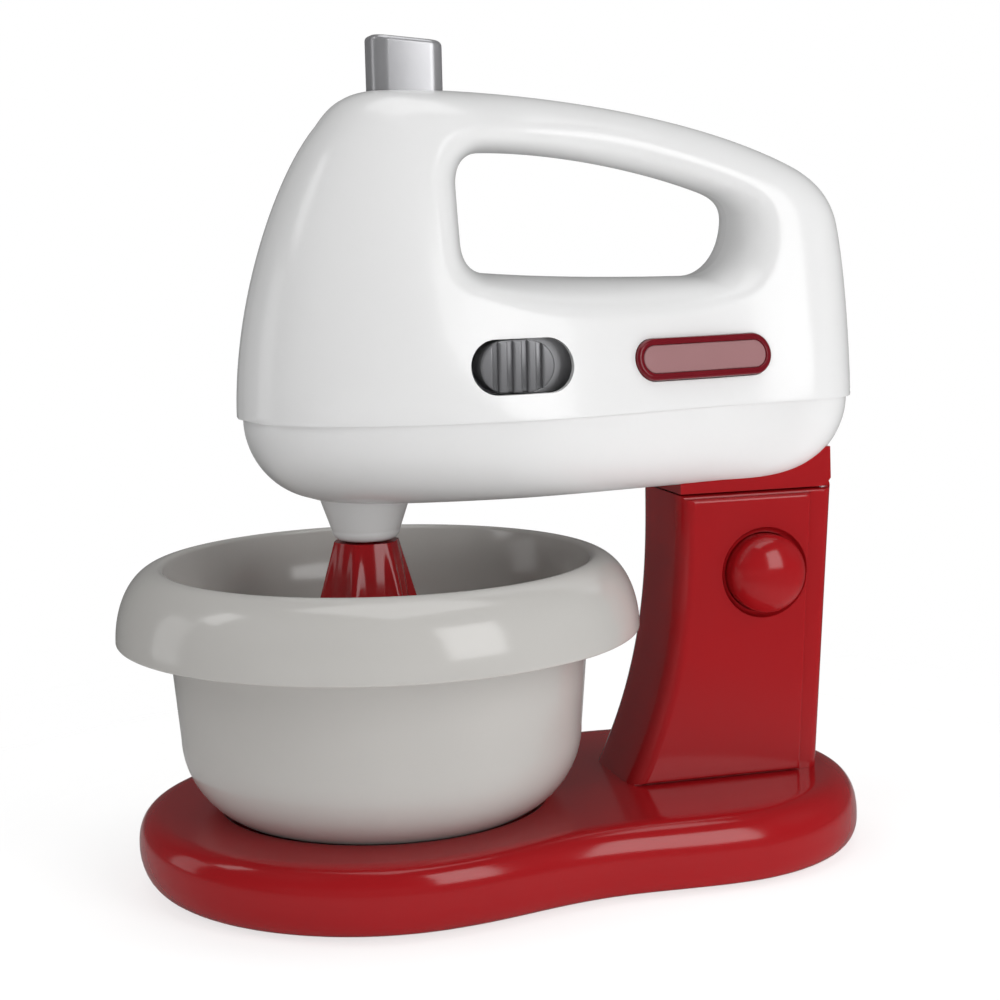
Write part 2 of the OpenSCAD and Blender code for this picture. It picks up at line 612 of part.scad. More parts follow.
// Tilt cradle: fills the space under the cover and hangs on the hinge pin
tilt_max = 50;
cradle_z = col_top + gap;
module cradle_block() translate([0, col_half_w, 0]) face_left() linear_extrude(2 * col_half_w) polygon([
    [col_front_x + 0.5, cradle_z], [hinge_x, cradle_z],
    [hinge_x + 2 * cos(tilt_max + 3), hinge_z + 2 * sin(tilt_max + 3)],
    [col_rear_x - 1, hinge_z + (col_rear_x - 1 - hinge_x) * tan(tilt_max + 3)],
    [col_rear_x - 1.2, tub_z + 9], [col_front_x + 0.5, tub_z + 9]]);
module tilt_cradle() color(red) on_table() difference() {
    union() {
        difference() {
            cradle_block();
            skin([for (a = tub_angles) ring_of(tub_side(seam_step - 0.1 + tub_r * (1 - cos(a))),
                seam_z - 0.1 - tub_r * sin(a))]);
            translate([hinge_x, ear_end + gap, hinge_z]) face_left()
                cylinder(h = 2 * (ear_end + gap), r = knuckle_r + gap + 0.1);
        }
        translate([hinge_x, knuckle_w / 2, hinge_z]) face_left() cylinder(h = knuckle_w, r = knuckle_r);
        translate([hinge_x - knuckle_r - 3, -knuckle_w / 2, cradle_z])
            cube([knuckle_r + 3, knuckle_w, tub_z - cradle_z - 0.2]);
        translate([tongue_x, -tongue_w / 2, col_top - tongue_drop])
            cube([tongue_l, tongue_w, tongue_drop + 1]);
        for (x = cradle_screw_at) translate([x, 0, 0]) intersection() {
            translate([0, 0, cradle_z]) cylinder(h = tub_z - cradle_z - 0.1, r = boss_r);
            translate([-9, -9, cradle_z]) cube([18, 18, 9]);
        }
    }
    translate([hinge_x, knuckle_w / 2 + 1, hinge_z]) face_left() cylinder(h = knuckle_w + 2, r = hinge_pin_r + run);
    for (x = cradle_screw_at) translate([x, 0, cradle_z - 1]) cylinder(h = 10, r = pilot_r);
}

module cradle_screws() color(steel) on_table() for (x = cradle_screw_at)
    translate([x, 0, tub_floor]) mirror([0, 0, 1]) screw(tub_floor - cradle_z - 0.3);

// Involute gears with stub teeth
pressure = 25;
addendum = 0.8;
dedendum = 1.05;
backlash = 0.16;
function roll_at(rb, r) = r <= rb ? 0 : sqrt(r * r / (rb * rb) - 1) * 180 / PI;
function involute(rb, r) = let (a = roll_at(rb, r)) a - atan(a * PI / 180);
function gear_outline(teeth) = let (rp = gear_module * teeth / 2, rb = rp * cos(pressure),
    ra = rp + addendum * gear_module, rf = rp - dedendum * gear_module, r0 = max(rb, rf),
    half = 90 / teeth - backlash * 90 / (PI * rp) + involute(rb, rp),
    rs = [for (i = [0:3]) lerp(r0 + 0.01, ra, i / 3)])
    [for (k = [0:teeth - 1]) let (c = 360 * k / teeth) each concat(
        [let (a = c - half + involute(rb, r0)) (rf * [cos(a), sin(a)])],
        [for (r = rs) let (a = c - half + involute(rb, r)) r * [cos(a), sin(a)]],
        [for (i = [3:-1:0]) let (a = c + half - involute(rb, rs[i])) rs[i] * [cos(a), sin(a)]],
        [let (a = c + half - involute(rb, r0)) (rf * [cos(a), sin(a)])])];
module gear(teeth, t) linear_extrude(t) polygon(gear_outline(teeth));

spindle_top_r = 4.5;
module output_gear() color(white) on_table() translate([spindle_x, 0, 0]) difference() {
    union() {
        translate([0, 0, gear_z]) gear(output_teeth, gear_t);
        translate([0, 0, cone_z + 0.5]) cylinder(h = gear_z - cone_z, r = journal_r);
        translate([0, 0, gear_z]) cylinder(h = gear_plate_z + gear_plate_t + 1 - gear_z, r = spindle_top_r);
    }
    translate([0, 0, cone_z - 1]) cylinder(h = 80, r = shank_r + run);
}

module idler_gear() color(white) on_table() translate([idler_x, 0, 0]) difference() {
    union() {
        translate([0, 0, gear_z - 0.3]) rotate(180 / idler_pinion_teeth)
            gear(idler_pinion_teeth, gear_t + 1);
        translate([0, 0, big_gear_z - 0.3]) gear(idler_teeth, big_gear_t);
        translate([0, 0, tub_floor + 8.8]) cylinder(h = gear_z - tub_floor - 8.8, r = 2.6);
        translate([0, 0, big_gear_z]) cylinder(h = gear_plate_z - big_gear_z - 0.3, r = 2.6);
    }
    translate([0, 0, tub_floor]) cylinder(h = 40, r = axle_r + run);
}

module idler_axle() color(steel) on_table() translate([idler_x, 0, tub_floor])
    cylinder(h = gear_plate_z + gear_plate_t - tub_floor, r = axle_r);

motor_l = 25;
motor_z = gear_plate_z + gear_plate_t;
motor_shaft_r = 1;
module motor_pinion() color(silver) on_table() translate([motor_x, 0, 0]) {
    translate([0, 0, big_gear_z - 0.8]) rotate(180 / pinion_teeth) gear(pinion_teeth, big_gear_t + 1);
    translate([0, 0, big_gear_z]) cylinder(h = motor_z + 6 - big_gear_z, r = motor_shaft_r);
}

module motor() color(steel) on_table() translate([motor_x, 0, motor_z]) difference() {
    union() {
        intersection() {
            cylinder(h = motor_l, r = 10.2);
            translate([-11, -7.7, 0]) cube([22, 15.4, motor_l]);
        }
        translate([0, 0, -1.5]) cylinder(h = 2, r = 3);
        translate([0, 0, motor_l - 0.5]) cylinder(h = 2, r = 4);
    }
    translate([0, 0, -3]) cylinder(h = 10, r = motor_shaft_r + run);
}

tower_r = 5;
rod_r = 3;
tower_h = 8.5;
module gear_plate() color(pale) on_table() difference() {
    union() {
        translate([(post_at[0].x + post_at[3].x) / 2, 0, gear_plate_z]) linear_extrude(gear_plate_t)
            round_box(post_at[3].x - post_at[0].x + 2 * boss_r, 2 * post_at[3].y + 2 * boss_r, boss_r);
        translate([spindle_x, 0, gear_plate_z]) cylinder(h = gear_plate_t, r = spindle_top_r + 5);
        translate([eject_x, 0, gear_plate_z]) cylinder(h = gear_plate_t + tower_h, r = tower_r);
    }
    translate([spindle_x, 0, gear_plate_z - 1]) cylinder(h = 10, r = spindle_top_r + run);
    translate([eject_x, 0, gear_plate_z + gear_plate_t]) cylinder(h = 20, r = rod_r + run);
    translate([idler_x, 0, gear_plate_z - 1]) cylinder(h = gear_plate_t + 1.2, r = axle_r + 0.02);
    translate([motor_x, 0, gear_plate_z - 1]) cylinder(h = 10, r = 3.1);
    for (p = post_at) translate([p.x, p.y, gear_plate_z - 1]) cylinder(h = 10, r = pass_r);
}

module plate_screws() color(steel) on_table() for (p = post_at)
    translate([p.x, p.y, gear_plate_z + gear_plate_t]) mirror([0, 0, 1]) screw(gear_plate_t + 10);

// Eject button, with its top sloping along the handle, and the cranked rod below it
eject_slope = 5.5;
eject_top = crown_z + eject_h;
eject_skirt_z = crown_z - 9;
module eject_button() color(silver) on_table() difference() {
    union() {
        translate([eject_x, 0, eject_skirt_z]) linear_extrude(eject_top - eject_skirt_z + 2)
            round_box(eject_l, eject_w, eject_corner);
        translate([eject_x, 0, eject_skirt_z - 1.6]) linear_extrude(1.6)
            round_box(eject_l + 2.4, eject_w + 2.4, eject_corner);
    }
    translate([eject_x, 0, eject_top]) rotate([0, eject_slope, 0])
        translate([-20, -20, 0]) cube([40, 40, 10]);
    translate([eject_x, 0, eject_skirt_z - 3]) cylinder(h = 8, r = rod_r + 0.05);
}

tower_top = gear_plate_z + gear_plate_t + tower_h;
arm_z = tower_top + 10;
arm_t = 5;
push_z = gear_z + gear_t - 2;
module eject_rod() color(pale) on_table() union() {
    translate([eject_x, 0, tower_top - tower_h + eject_travel + 0.5])
        cylinder(h = eject_skirt_z + 4 - tower_top + tower_h - eject_travel, r = rod_r);
    translate([spindle_x - 3, -rod_r, arm_z]) cube([eject_x - spindle_x + 6, 2 * rod_r, arm_t]);
    translate([spindle_x, 0, push_z]) cylinder(h = arm_z - push_z + 1, r = shank_r - 0.6);
}

module eject_spring() color(steel) on_table() translate([eject_x, 0, tower_top + 0.1])
    coil(rod_r + 1.2, 0.5, arm_z - tower_top - 0.2, 4);

// Slider: ribbed knob in the slot, with a flange and a peg behind the wall
knob_x = slot_x - (slot_l - knob_l) / 2 + knob_lead;
knob_y = -plan_w(slot_x) * draw_in(slot_x, slot_z) + 0.1;
rib_pitch = knob_l / (knob_ribs + 0.2);
groove_w = 1.3;
groove_t = 1.2;
slider_travel = slot_l - knob_l - 2 * gap;
flange_y = -33;
module speed_slider() color(silver) on_table() difference() {
    union() {
        translate([knob_x, flange_y, slot_z]) face_left()
            linear_extrude(-knob_y + flange_y) pill(knob_l, slot_h - 2 * gap);
        translate([knob_x, flange_y + 1.5, slot_z]) face_left() linear_extrude(1.6)
            pill(slot_l + slider_travel + 0.8, slot_h + 1.6);
        translate([knob_x, flange_y + 5, slot_z]) face_left() cylinder(h = 5, r = 1.2);
    }
    for (i = [1:knob_ribs - 1]) translate([knob_x + (i - knob_ribs / 2) * rib_pitch - groove_w / 2,
        knob_y - 1, slot_z - slot_h / 2]) cube([groove_w, groove_t + 1, slot_h]);
}

switch_l = 22;
module circuit_board() color([0.1, 0.35, 0.2]) on_table() difference() {
    union() {
        translate([slot_x - 14, board_y, slot_z - 7.4]) cube([82, board_t, 17]);
        translate([slot_x - 11, board_y - 6.6, slot_z - 4]) cube([switch_l, 7, 8]);
    }
    translate([slot_x - 9, board_y - 7, slot_z - 1.6]) cube([switch_l - 4, 4.5, 3.2]);
}

module indicator_led() color(red) on_table() translate([lens_x, board_y, lens_z]) face_left() {
    cylinder(h = 2.4, r = 2.4);
    translate([0, 0, 2.4]) sphere(2.4);
}

lens_proud = 1.8;
module indicator_lens() color([0.55, 0.1, 0.14]) on_table() on_lens_face() {
    translate([0, 0, -3]) linear_extrude(3 + lens_proud - 1) pill(lens_l, lens_h);
    translate([0, 0, lens_proud - 1]) linear_extrude(1) pill(lens_l - 2, lens_h - 2);
}

// Battery compartment under the motor, opened from below
tray_wall = 1.4;
tray_z = tub_floor + 1.3;
cell_z = tub_floor + 0.6 + cell_r;
tray_top = cell_z + cell_r + 0.3 + tray_wall;
module battery_tray() color(dark) on_table() difference() {
    union() {
        translate([bay_cell_x - tray_wall - 0.7, -bay_half_w - tray_wall, tray_z])
            cube([cell_l + 2.8 + 2 * tray_wall - 1.4, 2 * (bay_half_w + tray_wall), tray_top - tray_z]);
        translate([bay_front_x, -5, tray_z]) cube([8, 10, 6]);
    }
    translate([bay_cell_x - 0.7, -bay_half_w, tray_z - 1])
        cube([cell_l + 1.4, 2 * bay_half_w, tray_top - tray_z + 1 - tray_wall]);
    translate([bay_front_x + 2.8, 0, tray_z - 1]) cylinder(h = 6, r = pilot_r);
}

module battery_cells() color([0.2, 0.25, 0.3]) on_table() for (s = [-1, 1])
    translate([bay_cell_x, s * cell_y, cell_z]) rotate([0, 90, 0]) union() {
        cylinder(h = cell_l - 1, r = cell_r);
        cylinder(h = cell_l, r = 2.7);
    }

module battery_contacts() color(steel) on_table() for (s = [-1, 1], x = [bay_cell_x - 0.6, bay_cell_x + cell_l + 0.1])
    translate([x, s * cell_y - 5, cell_z - 5]) cube([0.5, 10, 10]);

door_gap = 0.3;
module battery_door() color(white) on_table() difference() {
    translate([bay_front_x + door_gap, -bay_half_w + door_gap, tub_z])
        cube([bay_rear_x - bay_front_x - 2 * door_gap, 2 * (bay_half_w - door_gap), tub_wall]);
    translate([bay_front_x + 2.8, 0, tub_z - 1]) cylinder(h = 6, r = pass_r);
    translate([bay_front_x + 2.8, 0, tub_z - 1]) cylinder(h = 2.2, r = 2.4);
}

module door_screw() color(steel) on_table() translate([bay_front_x + 2.8, 0, tub_z + 1.2])
    screw(6, head_r = 2.2, head_h = 1.1);

// Beater: a cone with flat sides that opens into blades, joined again at the tip
beater_top_z = cone_z - 0.4;
beater_end_z = bowl_z + bowl_wall + beater_gap;
flute_z = beater_top_z - 20;
flute_r = 15.2;
blade_t = 2.4;
blade_w = 4.6;
shank_top = push_z - 0.3;
function blade_edge(d) = [for (i = [0:14]) let (t = i / 14,
    p = bez([[flute_r - 0.6, flute_z + 2], [beater_r + 4, flute_z - 14], [beater_r + 3, beater_end_z + 6],
        [1.5, beater_end_z + 0.4]], t))
    [max(p[0] - d * cos(80 * t * t), 0.5), p[1] + d * sin(80 * t * t)]];
module blade() translate([0, blade_t / 2, 0]) face_left() linear_extrude(blade_t)
    polygon(concat([[flute_r - 6, flute_z + 4], [flute_r - 2, flute_z + 4]], blade_edge(0),
        [[0, beater_end_z + 0.4], [0, beater_end_z + 5]],
        [for (i = [14:-1:0]) blade_edge(blade_w)[i]]));
module beater() color(red) on_table() translate([spindle_x, 0, 0]) union() {
    translate([0, 0, flute_z]) cylinder(h = beater_top_z - flute_z, r1 = flute_r, r2 = flute_r - 5.8,
        $fn = blade_count);
    for (k = [0:blade_count - 1]) rotate(360 * k / blade_count) blade();
    translate([0, 0, beater_end_z]) cylinder(h = 6, r = 4.5);
    translate([0, 0, beater_top_z - 1]) cylinder(h = shank_top - beater_top_z + 1, r = shank_r);
}

base_shell();
base_plate();
base_feet();
base_screws();
stand_screws();
column_left_shell();
column_right_shell();
column_screws();
hinge_pin();
release_button();
release_spring();
bowl();
tilt_cradle();
cradle_screws();
head_left_shell();
head_right_shell();
head_lower_cover();
gear_plate();
plate_screws();
output_gear();
idler_gear();
idler_axle();
motor();
motor_pinion();
eject_button();
eject_rod();
eject_spring();
speed_slider();
circuit_board();
indicator_led();
indicator_lens();
battery_tray();
battery_cells();
battery_contacts();
battery_door();
door_screw();
beater();
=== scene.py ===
# %% [markdown]
# # A toy stand mixer, drawn from its formulas
#
# The toy is a small hand mixer with a looped handle on a tilting stand, over a bowl.
# The CAD model gives the frame: what moves, where it turns and how large it is.
# Here each visible moulding is drawn again as a fine surface from the same formulas,
# in millimetres, and gets a procedural material. Then come the light and the camera.
# Places along X count from the same datum as in the CAD; `make` moves them to the origin.

# %% Load the CAD frame
import json
import math

import bpy
import numpy as np
from mathutils import Matrix, Vector


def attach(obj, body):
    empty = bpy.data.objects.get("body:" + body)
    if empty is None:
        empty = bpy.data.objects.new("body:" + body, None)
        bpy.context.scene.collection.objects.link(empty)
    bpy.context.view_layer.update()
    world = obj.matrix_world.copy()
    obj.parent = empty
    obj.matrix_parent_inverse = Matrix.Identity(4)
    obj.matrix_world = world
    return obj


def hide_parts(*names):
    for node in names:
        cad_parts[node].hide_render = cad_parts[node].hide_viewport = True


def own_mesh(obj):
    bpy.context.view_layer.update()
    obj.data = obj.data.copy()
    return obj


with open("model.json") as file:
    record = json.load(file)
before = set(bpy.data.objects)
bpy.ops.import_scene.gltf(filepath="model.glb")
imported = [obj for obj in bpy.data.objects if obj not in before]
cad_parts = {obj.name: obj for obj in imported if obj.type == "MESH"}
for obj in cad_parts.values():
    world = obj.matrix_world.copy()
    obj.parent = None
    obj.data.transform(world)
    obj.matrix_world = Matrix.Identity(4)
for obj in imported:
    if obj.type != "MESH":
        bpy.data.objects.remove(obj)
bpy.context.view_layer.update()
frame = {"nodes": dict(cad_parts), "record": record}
MM = 0.001
DATUM = np.array([2.2, 0.0, 0.0])

# %% [markdown]
# ## Curves to draw with
#
# Moulded plastic has few straight lines, so most outlines here are arcs and Bezier curves.
# Blender has curve objects too, but they must be turned into meshes before they can be
# measured or cut. Plain arrays of points are easier to check, and one formula gives them all.

# %% Curves
def lerp(a, b, t):
    """Straight blend: a + (b - a) t."""
    return a + (b - a) * t


def ease(t):
    """Smooth step: (1 - cos(pi t)) / 2, with t held between 0 and 1."""
    return (1 - np.cos(np.pi * np.clip(t, 0, 1))) / 2


def bez(c, t):
    """Cubic Bezier curve: sum of binom(3, k) (1 - t)^(3 - k) t^k c_k."""
    c = np.asarray(c, float)
    t = np.asarray(t, float)[:, None]
    u = 1 - t
    return u**3 * c[0] + 3 * u * u * t * c[1] + 3 * u * t * t * c[2] + t**3 * c[3]


def arc(cx, cy, rx, ry, a0, a1, n):
    """Elliptical arc (cx + rx cos a, cy + ry sin a) from a0 to a1 degrees."""
    a = np.radians(np.linspace(a0, a1, n))
    return np.stack([cx + rx * np.cos(a), cy + ry * np.sin(a)], 1)


def resample(points, n):
    """n points at equal steps of arc length along an open polyline."""
    p = np.asarray(points, float)
    d = np.concatenate([[0], np.cumsum(np.linalg.norm(np.diff(p, axis=0), axis=1))])
    s = np.linspace(0, d[-1], n)
    return np.stack([np.interp(s, d, p[:, k]) for k in range(p.shape[1])], 1)


print("a quarter arc ends at", arc(0, 0, 1, 1, 0, 90, 5)[-1].round(3))

# %% [markdown]
# ## Surfaces from rings
#
# The skin of a moulding can be read as rings that follow one another, like the hoops of a
# barrel. It could be pushed out of a box by hand, or subdivided from a coarse cage. Rings
# from a formula keep the exact sizes of the CAD, and give four-sided faces that shade well.
# A ring whose first and middle points lie on a symmetry line is closed by a ladder of faces.

# %% Faces between rings
def grid_faces(m, n, loop=False):
    """Four-sided faces of m closed rings with n points each, in index order."""
    r = np.arange(m if loop else m - 1)[:, None]
    i = np.arange(n)[None, :]
    r1, i1 = (r + 1) % m, (i + 1) % n
    return np.stack([r * n + i, r * n + i1, r1 * n + i1, r1 * n + i], -1).reshape(-1, 4)


def ladder_faces(n):
    """Faces that close a ring of n points from index i to n - i."""
    i = np.arange(1, n // 2 - 1)
    rungs = np.stack([i, n - i, n - i - 1, i + 1], 1).tolist()
    return [[0, n - 1, 1]] + rungs + [[n // 2 - 1, n // 2 + 1, n // 2]]


print("a ring of 8 points is closed by", len(ladder_faces(8)), "faces")


# %% Mesh objects
SHARP = math.radians(40)


def make(name, points, faces):
    """A mesh object from points in millimetres, smooth except along sharp edges."""
    me = bpy.data.meshes.new(name)
    metres = (np.asarray(points, float).reshape(-1, 3) + DATUM) * MM
    me.from_pydata(metres.tolist(), [], list(faces))
    me.validate()
    me.shade_smooth()
    me.set_sharp_from_angle(angle=SHARP)
    ob = bpy.data.objects.new(name, me)
    bpy.context.scene.collection.objects.link(ob)
    return ob


print("edges over", round(math.degrees(SHARP)), "degrees stay sharp")


# %% Lofted and turned shapes
def loft(name, rings, loop=False, flat=False):
    """Surface through rings of equal length, with ladder caps or one flat face at its ends."""
    rings = np.asarray(rings, float)
    m, n = rings.shape[:2]
    faces = grid_faces(m, n, loop).tolist()
    ends = [list(range(n))] if flat else ladder_faces(n)
    if not loop:
        faces += ends
        faces += [[(m - 1) * n + k for k in reversed(f)] for f in ends]
    return make(name, rings, faces)


def lathe(name, profile, n, centre, axis="z", loop=False):
    """Profile of (radius, height) turned about an axis: (r cos a, r sin a, h)."""
    p = np.asarray(profile, float)
    a = np.linspace(0, 2 * np.pi, n, endpoint=False)
    r, h = p[:, :1], p[:, 1:] + 0 * a
    x, y = r * np.cos(a), r * np.sin(a)
    rings = {"z": np.stack([x, y, h], -1), "-y": np.stack([x, -h, y], -1)}[axis]
    return loft(name, rings + np.asarray(centre, float), loop)


AXIS = 1e-3  # a radius that stands for a point on a lathe's axis
print("tools for meshes: make, loft, lathe")

# %% [markdown]
# ## Openings, and a place on the object
#
# In the real mouldings, slots and screw wells are left free by cores in the mould. They could
# be drawn into the grid, but a slot on a curved wall would spoil its even rows. A boolean cut
# leaves the wall alone. It needs faces that point outwards, so the sign of the volume is
# tested first, and its result becomes the mesh, so that no modifier is left over.

# %% Cuts
CUT_SHARP = math.radians(35)


def outward(ob):
    """Turns the faces of a closed surface so that they point out of the solid."""
    me = ob.data
    v = np.empty(len(me.vertices) * 3)
    me.vertices.foreach_get("co", v)
    v = v.reshape(-1, 3)
    me.calc_loop_triangles()
    t = np.empty(len(me.loop_triangles) * 3, int)
    me.loop_triangles.foreach_get("vertices", t)
    a, b, c = v[t.reshape(-1, 3)].transpose(1, 0, 2)
    if np.einsum("ij,ij->", a, np.cross(b, c)) < 0:
        me.flip_normals()
    return ob


def cut(ob, *cutters):
    """Takes closed solids out of a closed solid."""
    outward(ob)
    for c in cutters:
        outward(c)
        mod = ob.modifiers.new("cut", "BOOLEAN")
        mod.operation, mod.solver, mod.object = "DIFFERENCE", "EXACT", c
    bpy.context.view_layer.update()
    depsgraph = bpy.context.evaluated_depsgraph_get()
    done = bpy.data.meshes.new_from_object(ob.evaluated_get(depsgraph))
    ob.modifiers.clear()
    ob.data = done
    done.shade_smooth()
    done.set_sharp_from_angle(angle=CUT_SHARP)
    for c in cutters:
        bpy.data.objects.remove(c)
    return ob


print("tools for openings: outward, cut")


# %% Placing
def place(ob, body, slot, *nodes):
    """The piece rides on a body, takes a material slot and stands for CAD nodes."""
    outward(ob)
    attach(ob, body)
    if nodes:
        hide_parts(*nodes)
    ob.data.materials.clear()
    ob.data.materials.append(MATS[slot])
    print(ob.name, len(ob.data.polygons), "faces")
    return ob


# %% [markdown]
# ## A finish that all mouldings share
#
# Injected plastic is never one flat colour: the dye drifts a little, fingers leave smudges in
# the gloss, and the skin is slightly uneven. A photograph could be wrapped round the part, but
# it would bring its own light and seams. Noise from object coordinates has neither, so one
# node group turns a colour and a roughness into these three effects for every material.

# %% Node helpers
def tools(tree):
    """Short helpers for a node tree: add a node with input values, and link two sockets."""
    def add(kind, values=(), op=None):
        node = tree.nodes.new("ShaderNode" + kind)
        if op:
            node.operation = op
        for key, value in dict(values).items():
            node.inputs[key].default_value = value
        return node

    return add, tree.links.new


print("node helpers: add, link")


# %% Shared moulding effect
def moulding_group():
    """Colour drift, smudged roughness and a skin height, all from object coordinates."""
    g = bpy.data.node_groups.new("moulding", "ShaderNodeTree")
    inputs = (("Color", "Color"), ("Roughness", "Float"), ("Drift", "Float"), ("Smudge", "Float"))
    outputs = (("Color", "Color"), ("Roughness", "Float"), ("Height", "Float"))
    for way, sockets in (("INPUT", inputs), ("OUTPUT", outputs)):
        for name, kind in sockets:
            g.interface.new_socket(name, in_out=way, socket_type="NodeSocket" + kind)
    add, link = tools(g)
    gin, gout = g.nodes.new("NodeGroupInput"), g.nodes.new("NodeGroupOutput")
    co = add("TexCoord")

    def noise(scale, detail):
        t = add("TexNoise", {"Scale": scale, "Detail": detail})
        link(co.outputs["Object"], t.inputs["Vector"])
        return t.outputs["Fac"]

    def about(value, middle, amount):
        """The noise less its middle, times an amount from the group's input."""
        centred = add("Math", {1: middle}, "SUBTRACT")
        link(value, centred.inputs[0])
        scaled = add("Math", op="MULTIPLY")
        link(centred.outputs[0], scaled.inputs[0])
        link(gin.outputs[amount], scaled.inputs[1])
        return scaled.outputs[0]

    shade = add("Math", {1: 1.0}, "ADD")
    link(about(noise(28, 3), 0.5, "Drift"), shade.inputs[0])
    tint = add("HueSaturation")
    link(gin.outputs["Color"], tint.inputs["Color"])
    link(shade.outputs[0], tint.inputs["Value"])
    link(tint.outputs["Color"], gout.inputs["Color"])
    gloss = add("Math", op="ADD")
    link(gin.outputs["Roughness"], gloss.inputs[0])
    link(about(noise(75, 4), 0.45, "Smudge"), gloss.inputs[1])
    link(gloss.outputs[0], gout.inputs["Roughness"])
    link(noise(420, 2), gout.inputs["Height"])
    return g


MOULDING = moulding_group()
print("group", MOULDING.name, "has", len(MOULDING.nodes), "nodes")


# %% Material recipe
def material(name, color, rough, metal=0.0, coat=0.0, drift=0.06, smudge=0.1, bump=0.02, spec=0.5):
    """Principled surface fed by the moulding group; colour in linear values."""
    m = bpy.data.materials.new(name)
    m.use_nodes = True
    add, link = tools(m.node_tree)
    p = m.node_tree.nodes["Principled BSDF"]
    g = add("Group")
    g.node_tree = MOULDING
    g.inputs["Color"].default_value = (*color, 1)
    g.inputs["Roughness"].default_value = rough
    g.inputs["Drift"].default_value = drift
    g.inputs["Smudge"].default_value = smudge
    link(g.outputs["Color"], p.inputs["Base Color"])
    link(g.outputs["Roughness"], p.inputs["Roughness"])
    b = add("Bump", {"Strength": bump, "Distance": 0.0005})
    link(g.outputs["Height"], b.inputs["Height"])
    link(b.outputs["Normal"], p.inputs["Normal"])
    p.inputs["Metallic"].default_value = metal
    p.inputs["Specular IOR Level"].default_value = spec
    p.inputs["Coat Weight"].default_value = coat
    p.inputs["Coat Roughness"].default_value = 0.08
    return m


RECIPES = {
    "red_plastic": dict(color=(0.345, 0.008, 0.011), rough=0.15, coat=0.1, spec=0.35, smudge=0.06),
    "white_plastic": dict(color=(0.80, 0.80, 0.80), rough=0.24, coat=0.15, drift=0.02, smudge=0.06),
    "bowl_plastic": dict(color=(0.525, 0.512, 0.49), rough=0.14, drift=0.05, smudge=0.06),
    "silver_plastic": dict(color=(0.46, 0.46, 0.475), rough=0.3, metal=0.6, drift=0.08, smudge=0.08),
    "lens_plastic": dict(color=(0.15, 0.004, 0.010), rough=0.18, coat=0.1, spec=0.35),
    "lamp_plastic": dict(color=(0.55, 0.02, 0.02), rough=0.15),
    "nylon": dict(color=(0.70, 0.69, 0.64), rough=0.5),
    "dark_plastic": dict(color=(0.02, 0.02, 0.022), rough=0.5),
    "rubber": dict(color=(0.02, 0.02, 0.02), rough=0.8),
    "steel": dict(color=(0.60, 0.61, 0.63), rough=0.32, metal=1.0, drift=0.1),
    "brass": dict(color=(0.66, 0.46, 0.17), rough=0.3, metal=1.0, drift=0.1),
    "cell_jacket": dict(color=(0.05, 0.07, 0.10), rough=0.35),
    "board": dict(color=(0.02, 0.16, 0.06), rough=0.45),
}
print("recipes for", len(RECIPES), "slots")

# %% [markdown]
# ## One material for each slot
#
# The glossy reds and whites of the toy are plain dyed plastics, the eject button and the
# slider are lacquered silver, and the lens has a frosted middle. Each CAD piece names its slot
# in the record, so a loop can dress the hidden works too. Two more materials are used on a few
# pieces only, so they are kept apart from the slots: a darker copy of the silver that paints
# shade on the slider's knob and ribs, and the lens's frosted middle.

# %% Materials on the CAD nodes
MATS = {slot: material(slot, **recipe) for slot, recipe in RECIPES.items()}
# A darker copy of the silver: painted shade on the slider's knob and ribs.
SILVER_SHADED = material("slider_silver_painted_shade", (0.24, 0.24, 0.25), 0.4, metal=0.6, drift=0.12, smudge=0.12)
FROST = material("lens_frost", (0.32, 0.16, 0.165), 0.45, drift=0.12, bump=0.05, spec=0.25)
slot_of = {s["node"]: s["material_slot"] for s in frame["record"]["subparts"]}
for name, ob in frame["nodes"].items():
    ob.data.materials.clear()
    ob.data.materials.append(MATS[slot_of[name]])
print(len(MATS), "materials on", len(slot_of), "nodes")

# %% [markdown]
# ## The head's outline
#
# From the side, the head is a loop with a second loop, the handle's opening, inside it.
# Both are chains of Bezier pieces in four groups that belong together: bottom, front, top and
# rear. A traced picture would give hundreds of points; a few control points are easier to
# read and to change. Equal steps along each group let every point of one loop face its
# partner on the other.

# %% Head outline
SEAM, NOSE, REAR, CROWN = 133.0, -75.2, 107.5, 223.1
HALF_W, REAR_W, WALL = 45.0, 27.0, 2.2
GF, GR, GZ, GT = -13.3, 71.4, 169.0, CROWN - 17.7
OUTER = [
    [[[REAR, SEAM], [REAR, SEAM - 84], [NOSE, SEAM - 84], [NOSE, SEAM]]],
    [[[NOSE, SEAM], [NOSE, SEAM + 32], [NOSE + 13, CROWN - 23], [NOSE + 25, CROWN - 9.6]],
     [[NOSE + 25, CROWN - 9.6], [NOSE + 29, CROWN - 4], [NOSE + 33, CROWN], [NOSE + 45, CROWN]]],
    [[[NOSE + 45, CROWN], [NOSE + 85, CROWN], [REAR - 46, CROWN - 7.6], [REAR - 16.4, CROWN - 23]]],
    [[[REAR - 16.4, CROWN - 23], [REAR - 9.5, CROWN - 26.6],
      [REAR - 4.6, CROWN - 32], [REAR - 3, CROWN - 39]],
     [[REAR - 3, CROWN - 39], [REAR - 0.9, CROWN - 50], [REAR, SEAM + 22], [REAR, SEAM]]],
]
print("outer loop of", sum(map(len, OUTER)), "Bezier pieces")

